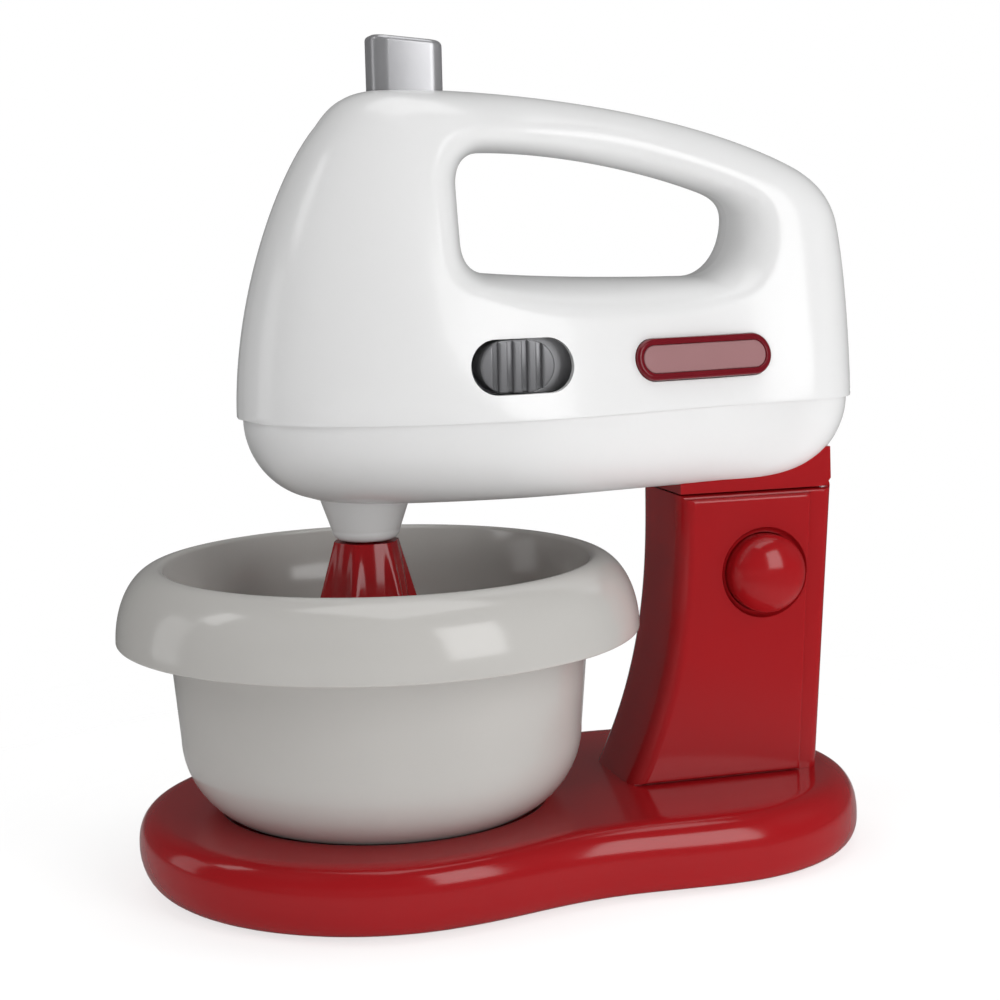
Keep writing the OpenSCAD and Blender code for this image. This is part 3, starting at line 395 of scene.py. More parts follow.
# %% Handle opening
INNER = [
    [[[GR - 13, GZ], [GR - 33, GZ], [GF + 27, GZ + 0.8], [GF + 9, GZ + 2.6]]],
    [[[GF + 9, GZ + 2.6], [GF + 3, GZ + 3.2], [GF, GZ + 6], [GF, GZ + 12]],
     [[GF, GZ + 12], [GF, GZ + 16], [GF, GT - 14], [GF, GT - 10]],
     [[GF, GT - 10], [GF, GT - 3], [GF + 4, GT], [GF + 10, GT]]],
    [[[GF + 10, GT], [GF + 31, GT], [GR - 27, GT - 5.4], [GR - 7.5, GT - 12.4]]],
    [[[GR - 7.5, GT - 12.4], [GR - 2.2, GT - 14.3], [GR, GT - 16.6], [GR, GT - 21]],
     [[GR, GT - 21], [GR, GZ + 6.2], [GR - 5.4, GZ], [GR - 13, GZ]]],
]
COUNTS = (150, 80, 80, 64)
print("inner loop of", sum(map(len, INNER)), "Bezier pieces")


# %% Points on both loops
def loop_of(groups):
    """Each group of Bezier pieces, sampled at equal steps, end to end."""
    out = []
    for pieces, n in zip(groups, COUNTS):
        dense = np.concatenate([bez(c, np.linspace(0, 1, 400)) for c in pieces])
        out.append(resample(dense, n + 1)[:-1])
    return np.concatenate(out)


head_out, head_in = loop_of(OUTER), loop_of(INNER)
print("outline of", len(head_out), "lines")

# %% [markdown]
# ## The head's skin
#
# The real half shell swells from the handle's loop, is widest near the seam and rounds off at
# its outer edge. Sculpting could do this, but the CAD needs the same form. So the half width
# is a formula over the outline, along lines from the inner loop to the outer one:
# y = plan(x) draw(x, z) e(d_out / R_out) e(d_in / R_in), e(u) = (1 - (1 - u)^2.2)^(1/2.2).

# %% Head width
SQUARE, LOOP_R, CROWN_R = 2.2, 12.0, 11.0


def e_round(d, r):
    """Rounded shoulder (1 - (1 - u)^2.2)^(1/2.2) with u = d / r up to 1."""
    return (1 - (1 - np.clip(d / r, 0, 1)) ** SQUARE) ** (1 / SQUARE)


def plan_w(x):
    """Half width of the plan: wide in front, eased to the narrow rear."""
    return lerp(HALF_W, REAR_W, ease((x - NOSE - 63) / (REAR - 24.4 - NOSE - 63)))


def rise(z):
    """Height above the seam as a share of the head's height."""
    return np.clip((z - SEAM) / (CROWN - SEAM), 0, 1)


def draw_in(x, z):
    """How far the sides lean in: 1 - draw(x) rise^1.3."""
    return 1 - lerp(0.62, 0.76, ease((x - GF + 8) / 30)) * rise(z) ** 1.3


def edge_r(x, z):
    """Radius of the rounding along the outer loop."""
    return lerp(lerp(75.0, 30.0, ease((x - NOSE - 35) / 120)), CROWN_R, rise(z) ** 1.2)


print("half width at the slider's place:", round(float(plan_w(-4.2)), 1), "mm")


# %% Head surface
def head_rows(fractions, t=0.0):
    """Rows of head points at fractions of each line; t is the depth under the skin."""
    a, b = head_in[None], head_out[None]
    line = np.linalg.norm(b - a, axis=-1)
    s = fractions
    p = lerp(a, b, s[..., None])
    x, z = p[..., 0], p[..., 1]
    outer_edge = e_round((1 - s) * line - t, edge_r(x, z))
    y = -(plan_w(x) * draw_in(x, z) - t) * outer_edge * e_round(s * line - t, LOOP_R)
    return np.stack([x, np.minimum(y, 0), z], -1)


below = head_out[:, 1] < SEAM
drop = np.where(below, head_in[:, 1] - head_out[:, 1], 1)
span = np.where(below, (head_in[:, 1] - SEAM) / drop, 1.0)
thin = WALL / np.linalg.norm(head_out - head_in, axis=1)
u = np.linspace(0, 1, 72)
levels_out = (0.35 * u + 0.65 * ease(u))[:, None] * span[None]
v = np.linspace(0, 1, 14)[:, None]
levels_in = lerp(np.where(span < 1, span, 1 - thin)[None], thin[None], ease(v))
head_rings = np.concatenate([head_rows(levels_out), head_rows(levels_in, WALL)])
print("head half:", head_rings.shape)

# %% [markdown]
# ## The head's openings
#
# The left shell has a slot for the slider and a pocket for the lens, and both shells share the
# hole for the eject button. Each opening is an outline carried straight through the wall, as
# the core in a mould is. The lens lies on the leaning wall, so its outline has its own plane.

# %% Outlines of the openings
def pill(l, h, n=64):
    """Outline of a slot with round ends, starting at its right tip."""
    right = arc((l - h) / 2, 0, h / 2, h / 2, 0, 90, n // 4)
    left = arc(-(l - h) / 2, 0, h / 2, h / 2, 90, 180, n // 4 + 1)
    half = np.concatenate([right, left])
    return np.concatenate([half, half[-2:0:-1] * [1, -1]])


def round_box(l, w, r, n=12):
    """Outline of a rectangle with round corners, starting on its right side."""
    half = np.concatenate([[[l / 2, 0]], arc(l / 2 - r, w / 2 - r, r, r, 0, 90, n),
                           arc(-l / 2 + r, w / 2 - r, r, r, 90, 180, n), [[-l / 2, 0]]])
    return np.concatenate([half, half[-2:0:-1] * [1, -1]])


def prism(name, to_space, levels):
    """Solid through levels of (outline, height), mapped to space."""
    return loft(name, [to_space(o, h) for o, h in levels])


def bar(name, to_space, outline, start, end):
    """Straight solid with one outline from one height to another."""
    return prism(name, to_space, [(outline, start), (outline, end)])


print("a pill has", len(pill(2, 1)), "points, a round box", len(round_box(2, 1, 0.1)))

# %% Places of the openings
EJ_X, EJ_L, EJ_W, EJ_R = -25.0, 20.6, 14.0, 4.5
SLOT_X, SLOT_Z, SLOT_L, SLOT_H = -4.2, 147.4, 29.6, 14.8
LENS_X, LENS_Z, LENS_L, LENS_H = 52.0, 147.0, 45.2, 11.8


def from_top(cx):
    """Outline in the plan about (cx, 0), at height h."""
    return lambda o, h: np.column_stack([o[:, 0] + cx, o[:, 1], np.full(len(o), h)])


def from_side(cx, cz):
    """Outline on the left side: height h points along -Y."""
    return lambda o, h: np.column_stack([o[:, 0] + cx, np.full(len(o), -h), o[:, 1] + cz])


lens_y = float(-plan_w(LENS_X) * draw_in(LENS_X, LENS_Z)) - 0.6
lens_frame = (Matrix.Translation((LENS_X, lens_y, LENS_Z))
              @ Matrix.Rotation(math.radians(13), 4, "Z")
              @ Matrix.Rotation(math.radians(-12), 4, "X")
              @ Matrix.Rotation(math.radians(90), 4, "X"))
LENS_M = np.array(lens_frame)


def on_lens(o, h):
    """Outline on the lens's own tilted plane, with height h out of the head."""
    p = np.column_stack([o, np.full(len(o), h), np.ones(len(o))])
    return (p @ LENS_M.T)[:, :3]


print("the lens's plane lies at y =", round(lens_y, 2), "mm")

# %% Left head shell
slot_hole = pill(SLOT_L, SLOT_H)
lens_hole = pill(LENS_L + 0.4, LENS_H + 0.4)
eject_hole = round_box(EJ_L + 0.6, EJ_W + 0.6, EJ_R + 0.3)
left = loft("head_left", head_rings, loop=True)
cut(left, bar("c1", from_side(SLOT_X, SLOT_Z), slot_hole, 30, 60),
    bar("c2", on_lens, lens_hole, -8, 10),
    bar("c3", from_top(EJ_X), eject_hole, CROWN - 18, CROWN + 12))
place(left, "head", "white_plastic", "head_left_shell")

# %% [markdown]
# ## Screws that join the two shells
#
# Toy housings are closed with screws in deep wells on the side that is not on show. The photo
# does not show that side, so four wells at likely places are enough. Each well is cut through
# the wall where the skin lies nearest to it, and a cup behind the wall carries a screw whose
# cross is cut in as two short bars.

# %% Right head shell
WELLS = np.array([[-50.0, 152.0], [22.0, 150.0], [88.0, 151.0], [-46.0, 188.0]])
WELL_R, CUP_R = 3.4, 4.5
right = loft("head_right", head_rings * [1, -1, 1], loop=True)
skin = head_rings[: len(u)].reshape(-1, 3)
nearest = np.argmin(((skin[None, :, ::2] - WELLS[:, None]) ** 2).sum(-1), axis=1)
well_y = -skin[nearest, 1]
holes = [lathe("c10", [[AXIS, -y - 4], [WELL_R, -y - 4], [WELL_R, 6 - y], [AXIS, 6 - y]],
               48, (x, 0, z), "-y") for (x, z), y in zip(WELLS, well_y)]
cut(right, bar("c4", from_top(EJ_X), eject_hole, CROWN - 18, CROWN + 12), *holes)
place(right, "head", "white_plastic", "head_right_shell")

# %% Wells and their screws
for k, ((x, z), y) in enumerate(zip(WELLS, well_y)):
    cup = [[AXIS, 9.4 - y], [CUP_R, 9.4 - y], [CUP_R, 2 - y],
           [WELL_R, 2 - y], [WELL_R, 8.2 - y], [AXIS, 8.2 - y]]
    place(lathe("well_%d" % k, cup, 48, (x, 0, z), "-y"), "head", "white_plastic")
    top = np.concatenate([[[AXIS, 8.2], [2.7, 8.2]], arc(1.9, 7.7, 0.8, -0.7, 0, 90, 6),
                          [[AXIS, 7.0]]]) - [0, y]
    screw = lathe("well_screw_%d" % k, top, 48, (x, 0, z), "-y")
    cross = [bar("c11", from_side(x, z), round_box(a, b, 0.1), 7.8 - y, 6 - y)
             for a, b in ((3.2, 0.7), (0.7, 3.2))]
    place(cut(screw, *cross), "head", "steel")

# %% [markdown]
# ## The lower cover and its nose cone
#
# The tub under the seam is a separate cover, set in by a small step. It could be a scaled
# copy of the head, but its edge is one even round. So the seam's own outline is carried down
# round a quarter circle: inset d = step + R (1 - cos a), height z = seam - R sin a.
# The cone that the beater comes out of is turned on a lathe.

# %% Rings of the lower cover
TUB_R, STEP, TUB_WALL = 24.0, 1.2, 2.4
na = COUNTS[0]
seam_half = head_rows(span[None])[0, : na + 1]
seam_half = np.column_stack([seam_half[:, 0], -seam_half[:, 1]])
seam_half[0, 1] = seam_half[na, 1] = 0
mid_x, half_l = (NOSE + REAR) / 2, (REAR - NOSE) / 2


def closed(side, z):
    """Ring at height z from one side's outline, mirrored to the other side."""
    ring = np.concatenate([side, side[-2:0:-1] * [1, -1]])
    return np.column_stack([ring, np.full(len(ring), z)])


def tub_ring(a, t):
    """Ring of the cover at edge angle a, at depth t inside its skin."""
    d = STEP + t + (TUB_R - t) * (1 - math.cos(a))
    x = lerp(mid_x, seam_half[:, 0], 1 - d / half_l)
    side = np.column_stack([x, seam_half[:, 1] * (1 - d / HALF_W)])
    return closed(side, SEAM - (TUB_R - t) * math.sin(a))


print("the cover reaches down to z =", SEAM - TUB_R, "mm")

# %% Lower cover and nose cone
angles = np.radians(np.linspace(90, 0, 28))
tub = loft("head_cover", [tub_ring(a, 0) for a in angles]
           + [tub_ring(a, TUB_WALL) for a in angles[::-3]])
BAY_F, BAY_R, BAY_W = -15.2, 43.2, 14.7
bay = round_box(BAY_R - BAY_F, 2 * BAY_W, 1.0)
cut(tub, bar("c5", from_top((BAY_F + BAY_R) / 2), bay, 100, 114))
place(tub, "head", "white_plastic", "head_lower_cover")
SPX = -40.0
cone = np.concatenate([[[6.0, 112.0], [13.4, 109.6], [12.9, 108.8]],
                       resample([[12.7, 108.4], [9.9, 100.2]], 8),
                       arc(6.7, 100.0, 3.1, 3.0, 0, -90, 12), [[6.0, 97.0]]])
place(lathe("nose_cone", cone, 128, (SPX, 0, 0), loop=True), "head", "white_plastic")

# %% [markdown]
# ## The base
#
# The base is a thick, soft-edged plate with a large round end under the bowl, a smaller one
# under the column and a drawn-in waist. A bevelled extrusion would give an even edge, but
# here the widest line rises towards the front. So rings are stacked from the hollow underside
# over the edge to the dished seat, and each ring knows its own height at every point.

# %% Base outlines
BF, BFR, BR, BRR, WAIST = -40.0, 68.0, 51.0, 56.5, 4.5
BASE_H, BELLY, SLANT, SHOULDER, RIM, TUCK = 21.0, 9.5, 2.4, 9.0, 1.0, 5.4
BOWL_X, BBR, DRAFT, CURVE, SEAT_DEPTH, SEAT_FIT = -37.0, 60.4, 2.6, 25.0, 4.0, 0.5
HALF_BASE = (BR + BRR - BF + BFR) / 2
phi = math.acos((BFR - BRR) / (BR - BF))
nb = 70


def base_side(d, more=0.0):
    """Half outline inset by d (more in front): two ends, and a tangent drawn in by W sin^2(pi t)."""
    rear_r, front_r = BRR - d + more, BFR - d - more
    rear = arc(BR, 0, rear_r, rear_r, 0, math.degrees(phi), nb)
    front = arc(BF, 0, front_r, front_r, math.degrees(phi), 180, nb)
    t = np.linspace(0, 1, 42)[1:-1, None]
    waist = WAIST * np.sin(np.pi * t) ** 2 * np.array([math.cos(phi), math.sin(phi)])
    return np.concatenate([rear, lerp(rear[-1], front[0], t) - waist, front])


print("base outline of", len(base_side(0)), "points on each side")


# %% Base rings
def seat_side(r):
    """Half circle about the bowl's axis with as many points as the base outline."""
    o = base_side(SHOULDER) - [BOWL_X, 0]
    a = np.arctan2(o[:, 1], o[:, 0])
    return np.column_stack([BOWL_X + r * np.cos(a), r * np.sin(a)])


def base_ring(a, end, inset, more, full=1.0):
    """Ring at angle a from the widest line: z = lerp(belly(x), end, sin(a)^full)."""
    turn = 1 - math.cos(a) ** full if a < math.pi / 2 else 1.0
    ring = closed(base_side(inset * turn, more * turn), 0)
    middle = (BF - BFR + BR + BRR) / 2
    belly = BELLY - SLANT * ring[:, 0] / HALF_BASE + SLANT * middle / HALF_BASE
    ring[:, 2] = lerp(belly, end, math.sin(a) ** full)
    return ring


belly_z = base_ring(0.0, BASE_H, SHOULDER, -1.5)[:, 2]
print("the widest line lies from z =", belly_z.min().round(1), "to", belly_z.max().round(1), "mm")

# %% Base moulding
under = [base_ring(a, RIM, TUCK, 1.4) for a in np.radians(np.linspace(90, 6, 10))]
over = [base_ring(a, BASE_H, SHOULDER, -1.5, 0.8) for a in np.radians(np.linspace(0, 90, 30))]
SEAT_R = BBR - DRAFT - CURVE + math.sqrt(CURVE**2 - (CURVE - SEAT_DEPTH) ** 2) + SEAT_FIT
SEAT_Z, LIP = BASE_H - SEAT_DEPTH, 0.9
hollow = [closed(base_side(d, 1.4), z) for d, z in ((11.4, 14.0), (8.4, 11), (8.4, RIM))]
seat = [closed(seat_side(SEAT_R + d), BASE_H) for d in (1.6, 1.1)]
seat += [closed(seat_side(SEAT_R + LIP - r), z)
         for r, z in arc(0, BASE_H - LIP, LIP, LIP, 90, 4, 8)]
seat += [closed(seat_side(SEAT_R), SEAT_Z + 0.6), closed(seat_side(SEAT_R - 0.6), SEAT_Z)]
seat += [closed(seat_side(r), SEAT_Z) for r in (30, 12)]
place(loft("base_moulding", hollow + under + over + seat), "stand", "red_plastic", "base_shell")

# %% [markdown]
# ## The column
#
# The column is moulded in two halves. Its front edge flares out to the base, its rear leans,
# and each side carries a raised panel. Boxes with bevels would meet in hard lines, but on the
# toy the front edge is one soft round from the panel's face. So rings run from the hollow
# middle out to the panel, and each has its own insets from the front, rear, top and foot.

# %% Column rings
COL_TOP, COL_F, FLARE, COL_R, RAKE = 106.0, 49.5, 16.5, 98.5, 5.0
COL_W, PANEL, COL_WALL = 16.0, 2.0, 2.5
EDGE_Y, EDGE_IN, SIDE_R, PANEL_R = -11, 4.6, 4, 1.1
zs = np.linspace(0, 1, 70)


def col_ring(y, front, rear, top, foot, lean=0.0):
    """Ring at depth y, with insets from its four edges; front edge x = F - flare k^2.6."""
    z = lerp(BASE_H + foot, COL_TOP - top, zs)
    k = (COL_TOP - z) / (COL_TOP - BASE_H)
    xf, xr = COL_F - FLARE * k**2.6 + front, COL_R - RAKE * k - rear - lean * (1 - k)
    back, fore = np.column_stack([xr, z]), np.column_stack([xf, z])[::-1]
    t = np.linspace(0, 1, 30)[1:-1, None]
    ring = np.concatenate([back, lerp(back[-1], fore[0], t), fore, lerp(fore[-1], back[0], t)])
    return np.column_stack([ring[:, 0], np.full(len(ring), y), ring[:, 1]])


def front_edge(y):
    """Inset of the front edge at depth y: E (1 - sqrt(1 - k^2)), k from EDGE_Y to the face."""
    k = np.clip((EDGE_Y - y) / (COL_W + PANEL + EDGE_Y), 0, 1)
    return EDGE_IN * (1 - math.sqrt(1 - k * k))


print("the front edge is set in by", front_edge(-COL_W - PANEL), "mm at the panel's face")

# %% From the hollow middle to the panel's face
col_rings = [col_ring(y, *[COL_WALL] * 4) for y in (-COL_W + COL_WALL, 0)]
col_rings += [col_ring(y, 0, 0, 0, 0) for y in (0, -7)]
for q in np.radians(np.linspace(0, 90, 12)):
    y, turn = -COL_W + SIDE_R - SIDE_R * math.sin(q), 1 - math.cos(q)
    col_rings.append(col_ring(y, front_edge(y), 3.4 * turn, 0.9 * turn, 0.0))
for y in (-COL_W - 0.02, -COL_W - 0.5):
    col_rings.append(col_ring(y, front_edge(y), 7.0, 1.2, 0.4, 1.0))
for q in np.radians(np.linspace(0, 90, 7)):
    y, turn = -COL_W - PANEL + PANEL_R - PANEL_R * math.sin(q), 1 - math.cos(q)
    col_rings.append(col_ring(y, front_edge(y), 7.0 + PANEL_R * turn, 1.2 + PANEL_R * turn,
                              0.4 + 0.8 * turn, 1.0))
y = -COL_W - PANEL
col_rings.append(col_ring(y, front_edge(y) + 0.8, 8.9, 3.1, 2.0, 1.0))
col_rings = np.array(col_rings)
print("column half:", col_rings.shape)

# %% Column shells
BX, BZ, BUTTON_R = 75.4, 82.0, 11.6
HX, HZ, KNUCKLE = 95.5, 106.0, 3.0
DISH_R, SCREW_Z = BUTTON_R + 0.3, 46.0
dish = np.concatenate([[[AXIS, 10], [DISH_R, 10], [DISH_R, 16.4]],
                       arc(DISH_R, 18.0, 1.4, 1.6, -90, -10, 8),
                       [[BUTTON_R + 2.4, 18.6], [AXIS, 18.6]]])
knuckle_gap = [[AXIS, -9], [KNUCKLE + 0.3, -9], [KNUCKLE + 0.3, 9], [AXIS, 9]]
screw_hole = [[AXIS, -30], [3.0, -30], [3.0, -8], [AXIS, -8]]
ear = np.concatenate([[[1.55, 9.0]], arc(KNUCKLE - 0.4, 9.4, 0.4, 0.4, -90, 0, 5),
                      arc(KNUCKLE - 0.4, 13.0, 0.4, 0.4, 0, 90, 5), [[1.55, 13.4]]])
for side, sign in (("left", 1), ("right", -1)):
    shell = loft("column_" + side, col_rings * [1, sign, 1], flat=True)
    cutters = [lathe("c6", knuckle_gap, 48, (HX, 0, HZ), "-y"),
               bar("c7", from_top(71.0), round_box(13.0, 7.0, 0.6), 102, 108)]
    if side == "left":
        cutters.append(lathe("c8", dish, 96, (BX, 0, BZ), "-y"))
    else:
        cutters += [lathe("c9", screw_hole, 40, (x, 0, SCREW_Z), "-y") for x in (60.0, 83.5)]
    place(cut(shell, *cutters), "stand", "red_plastic", "column_%s_shell" % side)
    knuckle = lathe("hinge_ear_" + side, ear * [1, sign], 48, (HX, 0, HZ), "-y", loop=True)
    place(knuckle, "stand", "red_plastic")

# %% [markdown]
# ## The release button
#
# The round button on the column is a low dome with a flange behind the wall, so that it cannot
# fall out. A flattened sphere would do for the dome alone. A turned profile gives the dome,
# the short neck and the flange in one piece.

# %% Release button
dome = np.concatenate([[[AXIS, 11.7], [13.2, 11.7], [13.2, 13.1], [BUTTON_R, 13.3]],
                       arc(0, 20.0, BUTTON_R, 7.0, 0, 90, 40) + [[AXIS, 0]]])
dome = lathe("release_dome", dome, 128, (BX, 0, BZ), "-y")
place(dome, "release", "red_plastic", "release_button")

# %% [markdown]
# ## The bowl
#
# The bowl has a round bottom, a wall with a little draft and a wide rim that turns down in a
# quarter ellipse. It could be a cut sphere with a torus on it, but then rim and wall would not
# share one skin. One closed profile of wall, skirt, mouth and inside is turned instead.

# %% Bowl
FR, MR, BOWL_H, DROP, BW = 74.9, 62.4, 74.4, 20.6, 2.0
flat, bz = BBR - DRAFT - CURVE, SEAT_Z
fz = bz + BOWL_H - DROP
outer_wall = np.concatenate([[[AXIS, bz]], arc(flat, bz + CURVE, CURVE, CURVE, -90, 0, 40),
                             [[BBR, fz + 3]]])
skirt_in = arc(MR, fz, FR - MR - BW, DROP - BW, 78, 2, 26)
skirt_lip = arc(FR - BW / 2, fz + 0.4, BW / 2, 0.7, 180, 360, 10)
skirt_out = arc(MR, fz, FR - MR, DROP, 3, 90, 44)
mouth = [[MR - 0.9, bz + BOWL_H - 0.3], [MR - 1.6, bz + BOWL_H - 1.1], [BBR - BW, fz + 3]]
inner_wall = np.concatenate([arc(flat, bz + CURVE, CURVE - BW, CURVE - BW, 0, -90, 40),
                             [[AXIS, bz + BW]]])
profile = np.concatenate([outer_wall, skirt_in, skirt_lip, skirt_out, mouth, inner_wall])
place(lathe("bowl_wall", profile, 256, (BOWL_X, 0, 0)), "bowl", "bowl_plastic", "bowl")

# %% [markdown]
# ## The eject button
#
# The silver button on top is a short bar with round corners and a top that slopes to the rear.
# A cube with a bevel would round all its edges alike. Rings let the corners be large, the top
# edge small and the top sloped, because each ring takes its height from its own place.

# %% Eject button
ej_top, slope, EJ_EDGE = CROWN + 14.0, math.tan(math.radians(5.5)), 1.5


def eject_ring(inset, drop):
    """Ring of the eject button set in from its side, below its sloping top."""
    o = round_box(EJ_L - 2 * inset, EJ_W - 2 * inset, EJ_R - inset * 0.8)
    return np.column_stack([o[:, 0] + EJ_X, o[:, 1], ej_top - slope * o[:, 0] - drop])


ej = [from_top(EJ_X)(round_box(EJ_L, EJ_W, EJ_R), CROWN - 9.0)]
ej += [eject_ring(0, 8.0), eject_ring(0, 1.6)]
ej += [eject_ring(EJ_EDGE - EJ_EDGE * math.cos(a), EJ_EDGE - EJ_EDGE * math.sin(a))
       for a in np.radians(np.linspace(8, 90, 8))]
ej += [eject_ring(3.0, 0.03)]
place(loft("eject_cap", ej), "eject", "silver_plastic", "eject_button")

# %% [markdown]
# ## The speed slider
#
# The slider is a pill-shaped knob with five raised ribs for the thumb, on a wider plate that
# slides behind the wall. An array modifier could repeat one rib, but the outer ribs follow the
# round ends of the pill. So each rib is a strip of the pill's own outline, rounded on top.

# %% Slider knob and plate
KNOB_L, KNOB_H, RIBS = 21.0, 14.2, 5
knob_x = SLOT_X - (SLOT_L - KNOB_L) / 2 + 2.7
knob_y = float(plan_w(SLOT_X) * draw_in(SLOT_X, SLOT_Z)) - 0.1
to_knob = from_side(knob_x, SLOT_Z)
KNOB_EDGE = ((0, 32), (0, knob_y - 1.8), (0.15, knob_y - 1.4), (0.5, knob_y - 1.2))
knob = [(pill(KNOB_L - 2 * d, KNOB_H - 2 * d), h) for d, h in KNOB_EDGE]
knob_base = place(prism("slider_knob", to_knob, knob), "slider", "silver_plastic", "speed_slider")
# The knob takes the darker copy of the silver: painted shade.
knob_base.data.materials[0] = SILVER_SHADED
plate = [(pill(38.4 - 2 * d, 16.4 - 2 * d), h) for d, h in ((0, 31.6), (0, 32.7), (0.4, 33.1))]
place(prism("slider_plate", to_knob, plate), "slider", "silver_plastic")


# %% Slider ribs
def pill_strip(l, h, x0, x1, inset, n=20):
    """Part of a pill from x0 to x1, set in; half height sqrt(r^2 - (|x| - c)^2) at its ends."""
    x = lerp(x1 - inset, x0 + inset, ease(np.linspace(0, 1, n)))
    over = np.maximum(np.abs(x) - (l - h) / 2, 0)
    y = np.sqrt(np.maximum((h / 2 - inset) ** 2 - over**2, 4e-4))
    half = np.concatenate([[[x[0], 0]], np.column_stack([x, y]), [[x[-1], 0]]])
    return np.concatenate([half, half[-2:0:-1] * [1, -1]])


pitch, groove = KNOB_L / (RIBS + 0.2), 1.3
edges = (np.arange(RIBS + 1) - RIBS / 2) * pitch
edges[0], edges[-1] = -KNOB_L / 2 - groove / 2, KNOB_L / 2 + groove / 2
RIB_EDGE = ((0.1, -1.6), (0.1, -0.5), (0.22, -0.2), (0.45, -0.05), (0.8, 0.0))
for k in range(RIBS):
    x0, x1 = edges[k] + groove / 2, edges[k + 1] - groove / 2
    rib = [(pill_strip(KNOB_L, KNOB_H, x0, x1, d), knob_y + h) for d, h in RIB_EDGE]
    piece = place(prism("slider_rib_%d" % k, to_knob, rib), "slider", "silver_plastic")
    # Each rib takes the darker copy of the silver: painted shade.
    piece.data.materials[0] = SILVER_SHADED

# %% [markdown]
# ## The indicator lens
#
# The lens is a dark red pill with a raised rim and a paler, frosted middle. Its look could
# come from one glass material, but rim and middle differ in gloss as well as in colour.
# Two pieces with their own materials show the fine line between them.

# %% Indicator lens
RIM_EDGE = ((0, -3), (0, 0.9), (0.2, 1.3), (0.55, 1.55), (1.0, 1.6), (1.7, 1.5), (1.95, 1.2),
            (1.95, 0.4))
rim = [(pill(LENS_L - 2 * d, LENS_H - 2 * d), h) for d, h in RIM_EDGE]
place(prism("lens_rim", on_lens, rim), "head", "lens_plastic", "indicator_lens")
FACE_EDGE = ((2.0, 0.3), (2.0, 1.15), (2.12, 1.3), (2.4, 1.36))
face = [(pill(LENS_L - 2 * d, LENS_H - 2 * d), h) for d, h in FACE_EDGE]
lens_face = place(prism("lens_face", on_lens, face), "head", "lens_plastic")
lens_face.data.materials[0] = FROST

# %% [markdown]
# ## The beater
#
# The red beater starts as a fluted cone under the nose and opens into six bowed blades that
# meet in a small hub. The cone's radius is a formula of the angle, so six thin ridges with
# hollow flanks widen towards the blades. A blade could be a bevelled curve object; a rounded
# section carried along a Bezier path gives the same bar as a plain mesh.

# %% Beater cone
CONE_TOP, CONE_END, TIP, BLADES = 96.6, 76.6, 27.5, 6
rows, n = 60, 180
th = np.linspace(0, 2 * np.pi, n, endpoint=False)
f = np.linspace(0, 1, rows)[:, None]
ridge = np.abs(np.cos(BLADES / 2 * th))[None] ** 7
rad = lerp(9.4, 15.2, f) * (1 - (0.05 + 0.16 * f) * (1 - ridge))
height = lerp(CONE_TOP, CONE_END, f) + 0 * th
flute = np.stack([SPX + rad * np.cos(th), rad * np.sin(th), height], -1)
place(loft("beater_cone", flute), "beater", "red_plastic", "beater")


# %% Beater blades
def sweep_blade(angle, rows=48, n=24):
    """Rounded bar along a Bezier path (r, z): centre + n u + b v, turned about the spindle."""
    ends = [[12.0, CONE_END + 3], [22.0, 62.6], [21.0, TIP + 8], [2.0, TIP + 2.6]]
    path = bez(ends, np.linspace(0, 1, rows))
    tan = np.gradient(path, axis=0)
    tan /= np.linalg.norm(tan, axis=1, keepdims=True)
    q = np.linspace(0, 2 * np.pi, n, endpoint=False)
    c, d = np.cos(q), np.sin(q)
    across = 1.2 * np.sign(c) * np.abs(c) ** 0.6
    deep = 2.0 * np.sign(d) * np.abs(d) ** 0.6
    r = path[:, :1] + tan[:, 1:] * deep
    z = path[:, 1:] - tan[:, :1] * deep
    y = across + 0 * z
    x = r * math.cos(angle) - y * math.sin(angle)
    y = r * math.sin(angle) + y * math.cos(angle)
    return np.stack([x + SPX, y, z], -1)


for k in range(BLADES):
    blade = loft("beater_blade_%d" % k, sweep_blade(math.radians(360 / BLADES * k)))
    place(blade, "beater", "red_plastic")

# %% Beater hub and shank
HUB_R = 1.8
hub = np.concatenate([[[AXIS, TIP]], arc(2.7, TIP + 1.8, HUB_R, HUB_R, -90, 0, 8),
                      arc(2.7, TIP + 4.0, HUB_R, HUB_R, 0, 90, 8), [[AXIS, TIP + 5.8]]])
place(lathe("beater_hub", hub, 64, (SPX, 0, 0)), "beater", "red_plastic")
shank = [[AXIS, 94], [2.99, 94], [2.99, 120.0], [2.6, 120.6], [AXIS, 120.6]]
place(lathe("beater_shank", shank, 48, (SPX, 0, 0)), "beater", "red_plastic")

# %% [markdown]
# ## The two springs
#
# A coil behind the release button and one under the eject rod push them back. They could stay
# as the CAD made them, but a spring gets shorter when its button goes in. So each is drawn
# again as a round wire on a helix, and gets a mesh of its own.

# %% Springs
def coil(r, wire, length, turns, n=12):
    """Wire w on a helix: (R cos a, R sin a, w + (L - 2 w) a / A + w sin b), R = r + w cos b."""
    a = np.linspace(0, 2 * np.pi * turns, 40 * turns + 1)[:, None]
    b = np.linspace(0, 2 * np.pi, n, endpoint=False)[None]
    rad = r + wire * np.cos(b)
    climb = wire + (length - 2 * wire) * a / a[-1]
    return np.stack([rad * np.cos(a), rad * np.sin(a), climb + wire * np.sin(b)], -1)


press = coil(4.4, 0.5, 10.3, 5)
press = np.stack([press[..., 0] + BX, -press[..., 2] - 1.1, press[..., 1] + BZ], -1)
spring = place(loft("release_coil", press), "stand", "steel", "release_spring")
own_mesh(spring)
lift_coil = coil(4.2, 0.5, 9.7, 4) + [EJ_X, 0, 146.1]
spring = place(loft("eject_coil", lift_coil), "head", "steel", "eject_spring")
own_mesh(spring)

# %% [markdown]
# ## The rubber feet
#
# Four small pads keep the toy from sliding. They hardly show, but they set the thin gap under
# the base that gives the shadow its sharp edge. Each is turned from a profile with a rounded
# rim and a shallow hollow, which a plain cylinder would not have.

